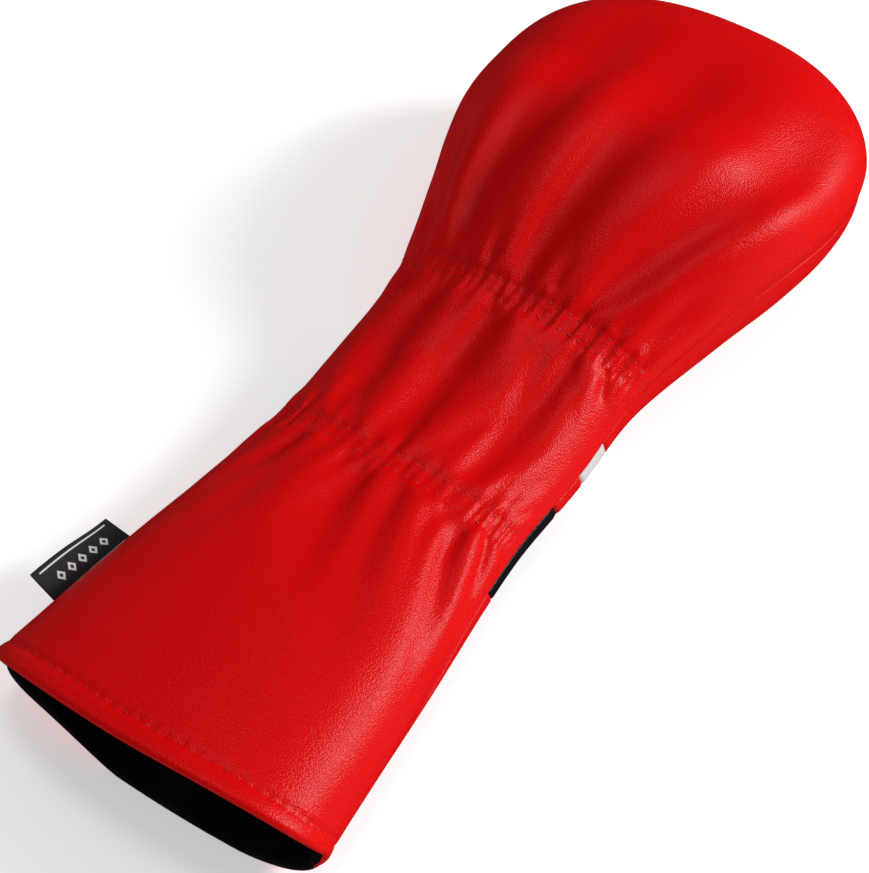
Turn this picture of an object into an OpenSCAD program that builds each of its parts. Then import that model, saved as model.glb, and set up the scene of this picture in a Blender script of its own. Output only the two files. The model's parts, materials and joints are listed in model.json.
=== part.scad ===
// Padded cover for the head of a golf driver, lying on its front panel.
// +Y runs from the open mouth to the crown, +X is the wearer's right seen from above,
// and z = 0 is the surface that the cover lies on, below the middle of its length.

/* [Outline] */
// Length from the mouth to the crown
length = 350; // [330:1:380]
// Distance from the mouth to the middle of the cuff
cuff_y = 60; // [50:1:75]
// Distance from the mouth to the lower gather
lower_gather_y = 119; // [110:1:132]
// Distance from the mouth to the middle of the neck
neck_y = 159; // [150:1:168]
// Distance from the mouth to the upper gather
upper_gather_y = 193; // [186:1:205]
// Distance from the mouth to the shoulder of the head pocket
shoulder_y = 232; // [224:1:240]
// Distance from the mouth to the fullest height of the head pocket
fullest_y = 262; // [254:1:268]
// Distance from the mouth to the widest place of the head pocket
widest_y = 290; // [280:1:296]

/* [Widths] */
// Width across the mouth
mouth_w = 123; // [116:1:140]
// Width of the cuff
cuff_w = 111; // [104:1:124]
// Width at the lower gather
lower_gather_w = 98; // [88:1:106]
// Width of the neck between the gathers
neck_w = 99; // [90:1:108]
// Width at the upper gather
upper_gather_w = 100; // [90:1:110]
// Width at the shoulder
shoulder_w = 121; // [110:1:130]
// Width at the fullest height
fullest_w = 138; // [126:1:144]
// Greatest width of the head pocket
widest_w = 144; // [134:1:152]

/* [Heights] */
// Height of the back panel above the surface at the mouth
mouth_h = 44; // [34:1:50]
// Height at the cuff
cuff_h = 40; // [30:0.5:44]
// Height at the lower gather
lower_gather_h = 37; // [33:0.5:44]
// Height at the neck
neck_h = 37; // [33:0.5:44]
// Height at the upper gather
upper_gather_h = 47; // [42:0.5:56]
// Height at the shoulder
shoulder_h = 65; // [58:1:74]
// Greatest height of the head pocket
fullest_h = 73; // [68:1:84]
// Height where the head pocket is widest
widest_h = 70; // [62:1:78]
// How far the back panel's lip bows out past the side seams at the mouth
back_lip_bow = 14; // [6:0.5:18]
// How far the front panel's lip bows out past the side seams at the mouth
front_lip_bow = 8; // [3:0.5:12]
// How much higher the mouth stands open on its right half than on its left
mouth_skew = 4; // [0:0.5:6]

/* [Layers] */
// Thickness of the leather
leather_t = 1.2; // [0.9:0.1:1.6]
// Thickness of the foam padding
padding_t = 2; // [1.6:0.1:3]
// Thickness of the plush lining
lining_t = 1.2; // [0.9:0.1:1.6]
// Thickness of the elastic bands
elastic_t = 1; // [0.6:0.1:1.2]
// Width of each elastic band
elastic_w = 10; // [8:1:14]
// Depth of the turned hem at the mouth
hem_depth = 10; // [8:1:14]

/* [Bands] */
// Distance from the mouth to the middle of the black band
black_band_y = 134; // [126:1:142]
// Width of the black band
black_band_w = 40; // [24:1:44]
// Distance from the mouth to the middle of the white band
white_band_y = 176.5; // [168:0.5:184]
// Width of the white band
white_band_w = 15; // [8:1:20]
// How far each band climbs from the middle of the front to the left seam
band_lean = 12; // [0:1:16]

/* [Stitches] */
// Thread diameter of the visible topstitching
thread_d = 0.8; // [0.5:0.1:1]
// Length of one topstitch
stitch_l = 2.6; // [2:0.1:3.5]
// Distance from one topstitch to the next
stitch_pitch = 4.2; // [3.8:0.1:6]
// Distance from the mouth's edge to the hem stitching
hem_stitch_y = 5.5; // [4.5:0.5:8]
// Distance between the two stitch lines of a gather
gather_line_gap = 6; // [5:0.5:8]
// Distance from one seam stitch to the next
seam_pitch = 9; // [6:0.5:12]

/* [Label] */
// Distance from the mouth to the middle of the side label
label_y = 39; // [34:1:60]
// Length of the label along the seam
label_l = 32; // [24:1:40]
// How far the label stands out of the seam
label_out = 14; // [8:1:18]
// Thickness of the folded label
label_t = 1.2; // [0.8:0.1:1.6]
// Upward tilt of the label, in degrees
label_tilt = 10; // [-10:1:20]
// Clearance between the label and the cover
label_gap = 0.4; // [0.3:0.1:0.8]

/* [Hidden] */

leather_red = [0.80, 0.02, 0.03];
thread_red = [0.62, 0.01, 0.02];
band_black = [0.06, 0.05, 0.06];
band_white = [0.90, 0.89, 0.88];
lining_black = [0.05, 0.04, 0.05];
foam_grey = [0.72, 0.72, 0.70];
elastic_white = [0.86, 0.85, 0.82];

origin_y = length / 2;
stations = [0, cuff_y, lower_gather_y, neck_y, upper_gather_y, shoulder_y, fullest_y, widest_y];
widths = [mouth_w, cuff_w, lower_gather_w, neck_w, upper_gather_w, shoulder_w, fullest_w,
    widest_w];
heights = [mouth_h, cuff_h, lower_gather_h, neck_h, upper_gather_h, shoulder_h, fullest_h,
    widest_h];
last = len(stations) - 1;

// Roundness of the sections and of the crown: 2 is an ellipse, more is squarer
section_n = 2.5;
crown_n = 2.4;
// The side seam's height as a share of the section's height, at the mouth and at the crown
seam_share_mouth = 0.38;
seam_share_crown = 0.50;
// The seam's turn above the widest line, in degrees, in the cuff and neck
seam_turn = 8;
// The section's round belly would reach this far below the surface that flattens it
belly_sink = 2;
// Length over which the mouth's bow and skew die away
lip_reach = 60;
// The front panel's rows lean with the bands between these distances from the mouth
lean_start = 30;
lean_full = 90;
lean_hold = 205;
lean_end = 265;

columns = 16;
lining_in = leather_t + padding_t;
inside_in = lining_in + lining_t;
hem_ramp = 1;
elastic_ramp = 1.5;
cuff_rows = [24, 38, 52, 66, 80];
neck_rows = [88, 98, 106, 114, 121, 128, 136, 145, 154, 163, 171, 179, 188, 195, 202];
head_rows = [210, 219, 228, 237, 247, 258, 268, 279, 290];
crown_turns = [12, 24, 36, 48, 60, 70, 80, 90];
crown_rows = [for (turn = crown_turns) widest_y + turn];

// Smooth curve through one value for each station, level at the last one
function station_slope(values, i) =
    i == last ? 0
    : i == 0 ? (values[1] - values[0]) / (stations[1] - stations[0])
    : (values[i + 1] - values[i - 1]) / (stations[i + 1] - stations[i - 1]);
function span_of(y) = max([for (i = [0:last - 1]) if (y >= stations[i]) i]);
function along(values, y) =
    let (
        i = span_of(y),
        h = stations[i + 1] - stations[i],
        s = (y - stations[i]) / h,
        rise = 3 * s * s - 2 * s * s * s
    )
    values[i] * (1 - rise) + values[i + 1] * rise
    + h * station_slope(values, i) * (s - 2 * s * s + s * s * s)
    + h * station_slope(values, i + 1) * (s * s * s - s * s);

function share(from, to, x) = min(1, max(0, (x - from) / (to - from)));
function smooth(from, to, x) =
    let (s = share(from, to, x)) s * s * (3 - 2 * s);
function seam_height(y) =
    along(heights, y) * (seam_share_mouth
        + (seam_share_crown - seam_share_mouth) * y / widest_y);
function seam_angle(v) = seam_turn * (1 - smooth(upper_gather_y, widest_y, v));

// A point of the cover. Up to widest_y, v is the distance from the mouth; past it, v - widest_y
// is the turn over the crown in degrees. theta goes round the section from the right side.
function surface_point(v, theta, inset) =
    let (
        y = min(v, widest_y),
        turn = max(0, v - widest_y),
        seam = seam_height(y),
        c = cos(theta),
        s = sin(theta),
        dx = c * sqrt(1 - sin(turn) * sin(turn) / 2),
        dy = sin(turn) * sqrt(1 - c * c / 2),
        dz = s * cos(turn),
        plan = pow(pow(abs(dx), crown_n) + pow(abs(dy), crown_n), section_n / crown_n),
        r = pow(plan + pow(abs(dz), section_n), 1 / section_n),
        reach = dz >= 0 ? along(heights, y) - seam : seam + belly_sink,
        lip = pow(max(0, 1 - y / lip_reach), 2),
        bow = (s >= 0 ? back_lip_bow : front_lip_bow) * abs(s) * lip,
        skew = mouth_skew * max(0, s) * c * lip,
        x = (along(widths, y) / 2 - inset) * dx / r,
        forward = (length - widest_y - inset) * dy / r,
        z = seam + (reach - inset) * dz / r + skew
    )
    [x, y + forward - bow - origin_y, max(z, inset)];

// The front rows lean across the panel, so that the bands climb from right to left
function leaned(v, across) =
    v + band_lean * across * smooth(lean_start, lean_full, v)
        * (1 - smooth(lean_hold, lean_end, v));
function back_point(v, f, inset) =
    surface_point(v, seam_angle(v) + (180 - 2 * seam_angle(v)) * f, inset);
function front_point(v, f, inset) =
    let (w = leaned(v, 2 * f - 1))
    surface_point(w, seam_angle(w) - (180 + 2 * seam_angle(w)) * f, inset);
function panel_point(front, v, f, inset) =
    front ? front_point(v, f, inset) : back_point(v, f, inset);

// A sewn layer between two insets. Each row is [v, outer inset, inner inset].
module layer(rows, front) {
    wide = columns + 1;
    count = len(rows);
    side = count * wide;
    points = [for (face = [1, 2], row = rows, j = [0:columns])
        panel_point(front, row[0], j / columns, row[face])];
    skins = [for (i = [0:count - 2], j = [0:columns - 1])
        let (a = i * wide + j, b = a + 1, c = a + wide + 1, d = a + wide)
        each [[a, b, c], [a, c, d], [side + a, side + c, side + b],
            [side + a, side + d, side + c]]];
    ends = [for (j = [0:columns - 1], first = [true, false])
        let (a = first ? j : side - wide + j, b = a + 1)
        each (first ? [[a, side + b, b], [a, side + a, side + b]]
            : [[a, b, side + b], [a, side + b, side + a]])];
    sides = [for (i = [0:count - 2], right = [true, false])
        let (a = i * wide + (right ? 0 : columns), b = a + wide)
        each (right ? [[a, b, side + b], [a, side + b, side + a]]
            : [[a, side + b, b], [a, side + a, side + b]])];
    faces = concat(skins, ends, sides);
    polyhedron(points, front ? faces : [for (f = faces) [f[0], f[2], f[1]]]);
}

function rows_between(low, high, marks) =
    [for (v = marks) if (v > low + 1.5 && v < high - 1.5) v];
body_rows = concat(cuff_rows, neck_rows, head_rows, crown_rows);
crown_end = widest_y + 90;

black_low = black_band_y - black_band_w / 2;
black_high = black_band_y + black_band_w / 2;
white_low = white_band_y - white_band_w / 2;
white_high = white_band_y + white_band_w / 2;

// Rows of the front, cut at the band joints, so that every layer behind them meets face to face
band_cuts = [black_low, black_high, white_low, white_high];
function clear_of_cuts(v) = min([for (cut = band_cuts) abs(v - cut)]) > 2.5;
front_marks = concat(
    cuff_rows,
    [for (v = neck_rows) if (v < black_low && clear_of_cuts(v)) v],
    [black_low],
    [for (v = neck_rows) if (v > black_low && v < black_high && clear_of_cuts(v)) v],
    [black_high],
    [for (v = neck_rows) if (v > black_high && v < white_low && clear_of_cuts(v)) v],
    [white_low],
    [for (v = neck_rows) if (v > white_low && v < white_high && clear_of_cuts(v)) v],
    [white_high],
    [for (v = neck_rows) if (v > white_high && clear_of_cuts(v)) v],
    head_rows, crown_rows);

// Rows of the back, cut at the edges of the elastic bands
function elastic_edges(y) =
    [y - elastic_w / 2 - elastic_ramp, y - elastic_w / 2, y + elastic_w / 2,
        y + elastic_w / 2 + elastic_ramp];
lower_edges = elastic_edges(lower_gather_y);
upper_edges = elastic_edges(upper_gather_y);
back_marks = concat(
    cuff_rows,
    [for (v = neck_rows) if (v < lower_edges[0] - 2) v],
    lower_edges,
    [for (v = neck_rows) if (v > lower_edges[3] + 2 && v < upper_edges[0] - 2) v],
    upper_edges,
    [for (v = head_rows) if (v > upper_edges[3] + 2) v],
    crown_rows);

function in_elastic(v) =
    abs(v - lower_gather_y) <= elastic_w / 2 || abs(v - upper_gather_y) <= elastic_w / 2;
function leather_rows(marks) =
    concat([[0, 0, lining_in], [hem_depth - hem_ramp, 0, lining_in],
        [hem_depth, 0, leather_t]], [for (v = marks) [v, 0, leather_t]]);
function padding_rows(marks, banded) =
    [for (v = concat([hem_depth], marks))
        [v, leather_t, banded && in_elastic(v) ? lining_in - elastic_t : lining_in]];
function lining_rows(marks) =
    [for (v = concat([0, hem_depth], marks)) [v, lining_in, inside_in]];
function piece_rows(low, high) =
    [for (row = leather_rows(front_marks)) if (row[0] >= low && row[0] <= high) row];

module back_panel() {
    color(leather_red) layer(leather_rows(back_marks), false);
}

module front_cuff_panel() {
    color(leather_red) layer(piece_rows(0, black_low), true);
}

module front_black_band() {
    color(band_black) layer(piece_rows(black_low, black_high), true);
}

module front_neck_panel() {
    color(leather_red) layer(piece_rows(black_high, white_low), true);
}

module front_white_band() {
    color(band_white) layer(piece_rows(white_low, white_high), true);
}

module front_head_panel() {
    color(leather_red) layer(piece_rows(white_high, crown_end), true);
}

module back_padding() {
    color(foam_grey) layer(padding_rows(back_marks, true), false);
}

module front_padding() {
    color(foam_grey) layer(padding_rows(front_marks, false), true);
}

module back_lining() {
    color(lining_black) layer(lining_rows(back_marks), false);
}

module front_lining() {
    color(lining_black) layer(lining_rows(front_marks), true);
}

// An elastic band sewn flat between the back padding and the lining
module elastic(edges) {
    color(elastic_white)
        layer([for (v = [edges[1], edges[2]]) [v, lining_in - elastic_t, lining_in]], false);
}

module upper_elastic() {
    elastic(upper_edges);
}

module lower_elastic() {
    elastic(lower_edges);
}

// One straight length of thread from p to q, kept above the surface that the cover lies on
module thread(p, q, d) {
    lift = [0, 0, max(0, d / 2 - min(p[2], q[2]))];
    run = q - p;
    translate(p + lift)
        rotate([0, acos(run[2] / norm(run)), atan2(run[1], run[0])])
            cylinder(h = norm(run), d = d, $fn = 16);
}

// A row of topstitches across a panel at one distance from the mouth
module stitch_row(front, v) {
    start = panel_point(front, v, 0.25, 0);
    girth = 2 * norm(panel_point(front, v, 0.5, 0) - start)
        + 2 * norm(start - panel_point(front, v, 0, 0));
    count = floor(girth / stitch_pitch);
    half = stitch_l / girth / 2;
    sunk = thread_d / 4;
    for (i = [0:count - 1]) {
        f = (i + 0.5) / count;
        thread(panel_point(front, v, f - half, sunk), panel_point(front, v, f + half, sunk),
            thread_d);
    }
}

module hem_stitching() {
    color(thread_red) {
        stitch_row(false, hem_stitch_y);
        stitch_row(true, hem_stitch_y);
    }
}

module gather_stitching(v) {
    color(thread_red)
        for (step = [-0.5, 0.5]) stitch_row(false, v + step * gather_line_gap);
}

module upper_gather_stitching() {
    gather_stitching(upper_gather_y);
}

module lower_gather_stitching() {
    gather_stitching(lower_gather_y);
}

// Hidden stitches across the seam that joins the back to the front, down both sides and
// round the crown, in the middle of a layer
seam_thread_d = 0.5;
seam_stitch_half = 1.2;
module seam_stitches(inset, thread_colour) {
    side_count = floor((widest_y - 2 * hem_depth) / seam_pitch);
    color(thread_colour) {
        for (i = [0:side_count], f = [0, 1]) {
            middle = back_point(1.5 * hem_depth + i * seam_pitch, f, inset);
            up = [0, 0, seam_stitch_half];
            thread(middle - up, middle + up, seam_thread_d);
        }
        for (theta = [10:10:170]) {
            middle = surface_point(crown_end, theta, inset);
            up = [0, 0, seam_stitch_half];
            thread(middle - up, middle + up, seam_thread_d);
        }
    }
}

module side_seam_stitching() {
    seam_stitches(leather_t / 2, thread_red);
}

module lining_seam_stitching() {
    seam_stitches(lining_in + lining_t / 2, lining_black);
}

// Hidden stitches across the joints between the bands and the red leather
module band_stitching() {
    count = 12;
    color(thread_red)
        for (cut = band_cuts, i = [0:count - 1]) {
            f = (i + 0.5) / count;
            thread(front_point(cut - seam_stitch_half, f, leather_t / 2),
                front_point(cut + seam_stitch_half, f, leather_t / 2), seam_thread_d);
        }
}

// The folded label stands out of the left seam and turns on the seam's line
label_low = back_point(label_y - label_l / 2, 1, 0);
label_high = back_point(label_y + label_l / 2, 1, 0);
module side_label() {
    run = label_high - label_low;
    flat = label_out - label_t / 2;
    color(band_black)
        translate(label_low)
            rotate([asin(run[2] / norm(run)), 0, atan2(run[1], run[0]) - 90])
                rotate([0, label_tilt, 0])
                    translate([-label_gap - label_t / 2, 0, 0]) {
                        translate([-flat + label_t / 2, 0, -label_t / 2])
                            cube([flat - label_t / 2, norm(run), label_t]);
                        translate([-flat + label_t / 2, 0, 0])
                            rotate([-90, 0, 0])
                                cylinder(h = norm(run), d = label_t, $fn = 24);
                    }
}

back_panel();
front_cuff_panel();
front_black_band();
front_neck_panel();
front_white_band();
front_head_panel();
back_padding();
front_padding();
back_lining();
front_lining();
upper_elastic();
lower_elastic();
hem_stitching();
upper_gather_stitching();
lower_gather_stitching();
side_seam_stitching();
band_stitching();
lining_seam_stitching();
side_label();
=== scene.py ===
"""Padded leather cover for the head of a golf driver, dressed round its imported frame.

The cover lies on its front panel with the gathered back panel up. Each layer is a sheet that
follows one form: v runs from the mouth to the crown and f runs across a panel, from the right
seam to the left seam.
"""

import json
import logging
import math
from collections.abc import Callable
from dataclasses import dataclass, field
from enum import Enum
from typing import ClassVar

import bpy
import numpy as np
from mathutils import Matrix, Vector


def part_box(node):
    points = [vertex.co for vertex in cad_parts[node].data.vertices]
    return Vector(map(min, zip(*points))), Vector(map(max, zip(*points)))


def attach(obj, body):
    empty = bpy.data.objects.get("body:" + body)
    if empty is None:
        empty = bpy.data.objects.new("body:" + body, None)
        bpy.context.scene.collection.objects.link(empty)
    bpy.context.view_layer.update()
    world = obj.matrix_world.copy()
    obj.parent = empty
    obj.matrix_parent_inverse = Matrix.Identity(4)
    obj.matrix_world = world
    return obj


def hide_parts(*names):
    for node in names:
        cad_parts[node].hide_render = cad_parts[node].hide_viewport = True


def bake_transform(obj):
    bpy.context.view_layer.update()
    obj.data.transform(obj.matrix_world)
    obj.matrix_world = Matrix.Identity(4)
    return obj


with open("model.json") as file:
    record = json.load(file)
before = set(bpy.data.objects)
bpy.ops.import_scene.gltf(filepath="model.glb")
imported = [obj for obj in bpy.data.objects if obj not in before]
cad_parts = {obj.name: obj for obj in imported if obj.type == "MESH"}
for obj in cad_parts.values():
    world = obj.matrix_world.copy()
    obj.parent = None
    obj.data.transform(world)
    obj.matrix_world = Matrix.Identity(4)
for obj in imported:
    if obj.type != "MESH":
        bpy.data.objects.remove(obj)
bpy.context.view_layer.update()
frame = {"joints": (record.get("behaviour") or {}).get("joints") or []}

logging.basicConfig(level=logging.INFO, format="%(message)s")
log = logging.getLogger("cover")

MM = 0.001
Array = np.ndarray
Colour = tuple[float, float, float]


# ----------------------------------------------------------------------------------------
# Small helpers
# ----------------------------------------------------------------------------------------


def smooth(low: float, high: float, x: Array) -> Array:
    """Rise smoothly from 0 at low to 1 at high.

    Args:
        low: where the rise starts.
        high: where it ends.
        x: places.

    Returns:
        The height at each place, with level ends.
    """
    t = np.clip((np.asarray(x, float) - low) / (high - low), 0.0, 1.0)
    return t * t * (3.0 - 2.0 * t)


def hermite(knots: Array, values: Array, x: Array, level_end: bool) -> Array:
    """Draw a smooth curve through values at knots.

    Args:
        knots: rising places of the values.
        values: one value for each knot.
        x: where the curve is read.
        level_end: whether the curve is level at its last knot.

    Returns:
        The curve's value at each x, held flat outside the knots.
    """
    knots = np.asarray(knots, float)
    values = np.asarray(values, float)
    slope = np.gradient(values) / np.gradient(knots)
    slope[0] = (values[1] - values[0]) / (knots[1] - knots[0])
    slope[-1] = 0.0 if level_end else (values[-1] - values[-2]) / (knots[-1] - knots[-2])
    x = np.clip(x, knots[0], knots[-1])
    i = np.clip(np.searchsorted(knots, x, side="right") - 1, 0, len(knots) - 2)
    h = knots[i + 1] - knots[i]
    s = (x - knots[i]) / h
    rise = 3.0 * s**2 - 2.0 * s**3
    return (
        values[i] * (1.0 - rise)
        + values[i + 1] * rise
        + h * slope[i] * (s - 2.0 * s**2 + s**3)
        + h * slope[i + 1] * (s**3 - s**2)
    )


def deselect_all() -> None:
    """Leave edit mode and select nothing."""
    if bpy.context.object is not None and bpy.context.object.mode != "OBJECT":
        bpy.ops.object.mode_set(mode="OBJECT")
    bpy.ops.object.select_all(action="DESELECT")


def make_active(piece: bpy.types.Object) -> None:
    """Select one piece only and make it the active object."""
    deselect_all()
    piece.select_set(True)
    bpy.context.view_layer.objects.active = piece


def settle(piece: bpy.types.Object) -> None:
    """Apply a piece's place to its mesh, so that its object sits at the origin."""
    make_active(piece)
    bpy.ops.object.transform_apply(location=True, rotation=True, scale=True)


# ----------------------------------------------------------------------------------------
# The cover's form
# ----------------------------------------------------------------------------------------


class Panel(Enum):
    """The two halves of the cover."""

    BACK = "back"
    FRONT = "front"


@dataclass(frozen=True)
class CoverForm:
    """The smooth outer form of the stuffed cover, in metres.

    v is the distance from the mouth up to the widest place. Past it, each further millimetre
    of v is one degree of turn over the crown.
    """

    length: float
    middle_y: float
    stations: tuple[float, ...] = (0.0, 0.060, 0.119, 0.159, 0.193, 0.232, 0.262, 0.290)
    widths: tuple[float, ...] = (0.123, 0.111, 0.098, 0.099, 0.100, 0.121, 0.138, 0.144)
    heights: tuple[float, ...] = (0.044, 0.040, 0.037, 0.037, 0.047, 0.065, 0.073, 0.070)
    section_n: float = 2.5
    crown_n: float = 2.4
    seam_share_mouth: float = 0.38
    seam_share_crown: float = 0.50
    seam_turn: float = 8.0
    belly_sink: float = 0.002
    lip_reach: float = 0.060
    back_bow: float = 0.014
    front_bow: float = 0.008
    mouth_skew: float = 0.004
    corner_pinch: float = 0.55
    corner_span: tuple[float, float] = (0.05, 0.75)
    right_roll: float = 24.0
    right_roll_span: tuple[float, float] = (0.015, 0.100)
    band_lean: float = 0.012
    lean_in: tuple[float, float] = (0.030, 0.090)
    lean_out: tuple[float, float] = (0.205, 0.265)

    @property
    def widest(self) -> float:
        """Where the head pocket is widest."""
        return self.stations[-1]

    @property
    def crown_end(self) -> float:
        """The value of v at the crown seam."""
        return self.widest + 90.0 * MM

    def surface(self, v: Array, theta: Array, inset: Array | float = 0.0) -> Array:
        """Find points of the form.

        Args:
            v: distance from the mouth, then turn over the crown.
            theta: angle round the section in degrees, from the right side over the back.
            inset: depth below the outer form.

        Returns:
            An array of points with a last axis of three.
        """
        v, theta, inset = np.broadcast_arrays(
            np.asarray(v, float), np.asarray(theta, float), np.asarray(inset, float)
        )
        y = np.minimum(v, self.widest)
        turn = np.radians(np.maximum(0.0, v - self.widest) / MM)
        width = hermite(self.stations, self.widths, y, True)
        height = hermite(self.stations, self.heights, y, True)
        share = self.seam_share_mouth + (
            self.seam_share_crown - self.seam_share_mouth
        ) * np.maximum(y, 0.0) / self.widest
        seam = height * share
        c, s = np.cos(np.radians(theta)), np.sin(np.radians(theta))
        dx = c * np.sqrt(1.0 - np.sin(turn) ** 2 / 2.0)
        dy = np.sin(turn) * np.sqrt(1.0 - c**2 / 2.0)
        dz = s * np.cos(turn)
        plan = (np.abs(dx) ** self.crown_n + np.abs(dy) ** self.crown_n) ** (
            self.section_n / self.crown_n
        )
        r = (plan + np.abs(dz) ** self.section_n) ** (1.0 / self.section_n)
        reach = np.where(dz >= 0.0, height - seam, seam + self.belly_sink)
        lip = np.maximum(0.0, 1.0 - np.maximum(y, 0.0) / self.lip_reach) ** 2
        bow = np.where(s >= 0.0, self.back_bow, self.front_bow) * np.abs(s) * lip
        skew = self.mouth_skew * np.maximum(0.0, s) * c * lip
        x = (width / 2.0 - inset) * dx / r
        forward = (self.length - self.widest - inset) * dy / r
        z = seam + (reach - inset) * dz / r + skew
        left = smooth(*self.corner_span, -dx / r) * lip * self.corner_pinch
        z = np.maximum(np.where(s < 0.0, z + (seam - inset - z) * left, z), inset)
        below = np.minimum(v, 0.0)
        return np.stack([x, y + below + forward - bow - self.middle_y, z], axis=-1)

    def seam_angle(self, v: Array) -> Array:
        """The left seam's turn above the widest line, in degrees."""
        return self.seam_turn * (1.0 - smooth(self.stations[4], self.widest, v))

    def right_seam_angle(self, v: Array) -> Array:
        """The right seam's turn, which rolls under the cuff towards the mouth."""
        under = 1.0 - smooth(*self.right_roll_span, v)
        return self.seam_angle(v) - self.right_roll * under

    def leaned(self, v: Array, f: Array) -> Array:
        """Lean the front panel's rows, so that its bands climb from right to left."""
        lean = smooth(*self.lean_in, v) * (1.0 - smooth(*self.lean_out, v))
        return v + self.band_lean * (2.0 * f - 1.0) * lean

    def panel_point(self, panel: Panel, v: Array, f: Array, inset: Array | float) -> Array:
        """Find points of one panel, f going from its right seam to its left seam.

        Args:
            panel: the half of the cover.
            v: distance from the mouth, then turn over the crown.
            f: place across the panel, from its right seam to its left seam.
            inset: depth below the outer form.

        Returns:
            An array of points with a last axis of three.
        """
        v, f = np.broadcast_arrays(np.asarray(v, float), np.asarray(f, float))
        if panel is Panel.BACK:
            left, right = self.seam_angle(v), self.right_seam_angle(v)
            return self.surface(v, right + (180.0 - left - right) * f, inset)
        w = self.leaned(v, f)
        left, right = self.seam_angle(w), self.right_seam_angle(w)
        return self.surface(w, right - (180.0 + left + right) * f, inset)

    def outward(self, panel: Panel, v: Array, f: Array) -> Array:
        """The unit vectors that point out of a panel.

        Args:
            panel: the half of the cover.
            v: distance from the mouth, then turn over the crown.
            f: place across the panel, from its right seam to its left seam.

        Returns:
            An array of directions with a last axis of three.
        """
        step_v, step_f = 0.4 * MM, 0.002
        v, f = np.broadcast_arrays(np.asarray(v, float), np.asarray(f, float))
        v = np.clip(v, step_v, self.crown_end - step_v)
        f = np.clip(f, step_f, 1.0 - step_f)
        along = self.panel_point(panel, v + step_v, f, 0.0) - self.panel_point(
            panel, v - step_v, f, 0.0
        )
        across = self.panel_point(panel, v, f + step_f, 0.0) - self.panel_point(
            panel, v, f - step_f, 0.0
        )
        normal = np.cross(along, across)
        if panel is Panel.FRONT:
            normal = -normal
        size = np.linalg.norm(normal, axis=-1, keepdims=True)
        return normal / np.maximum(size, 1e-12)

    def girth(self, panel: Panel, v: Array) -> Array:
        """The width of a panel along its surface at each v.

        Args:
            panel: the half of the cover.
            v: distance from the mouth, then turn over the crown.

        Returns:
            One width for each v, in metres.
        """
        f = np.linspace(0.0, 1.0, 61)
        points = self.panel_point(panel, np.asarray(v, float)[:, None], f[None, :], 0.0)
        return np.linalg.norm(np.diff(points, axis=1), axis=-1).sum(axis=1)


def form_from_frame() -> CoverForm:
    """Take the length and the place of the cover from its packed head panel, and log the back
    panel's width.
    """
    low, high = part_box("front_head_panel")
    back_low, back_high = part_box("back_panel")
    middle_y = high.y
    length = 2.0 * middle_y
    form = CoverForm(length=length, middle_y=middle_y)
    log.info("form %.4f m long, frame back %.4f m wide", length, back_high.x - back_low.x)
    return form


# ----------------------------------------------------------------------------------------
# Folds of the back panel
# ----------------------------------------------------------------------------------------


@dataclass(frozen=True)
class Crease:
    """A fold line that starts deep and dies away; a ridge has a depth below zero.

    path holds its points as (f, v in millimetres), from the deep end on. The fold widens from
    narrow to broad.
    """

    path: tuple[tuple[float, float], ...]
    depth: float
    narrow: float
    broad: float
    fade_in: ClassVar[tuple[float, float]] = (-0.06, 0.12)
    fade_out: ClassVar[tuple[float, float]] = (0.20, 1.0)

    def depth_at(self, v: Array, f: Array, girth: Array) -> Array:
        """Measure the crease's depth over the panel.

        Args:
            v: rows of the panel, as a column.
            f: columns of the panel, as a row.
            girth: the panel's width at each row, as a column.

        Returns:
            The depth to which the crease presses the leather in, in metres.
        """
        places, knots = np.array(self.path).T
        knots = knots * MM
        rising = knots[-1] > knots[0]
        if not rising:
            knots, places = knots[::-1], places[::-1]
        centre = hermite(knots, places, v, False)
        t = (v - knots[0]) / (knots[-1] - knots[0])
        if not rising:
            t = 1.0 - t
        lean = np.gradient(centre[:, 0]) / np.gradient(v[:, 0]) * girth[:, 0]
        steep = np.sqrt(1.0 + lean**2)[:, None]
        width = self.narrow + (self.broad - self.narrow) * np.clip(t, 0.0, 1.0)
        across = (f - centre) * girth / steep / width
        fade = smooth(*self.fade_in, t) * (1.0 - smooth(*self.fade_out, t))
        return self.depth * fade * np.exp(-(across**2))


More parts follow.
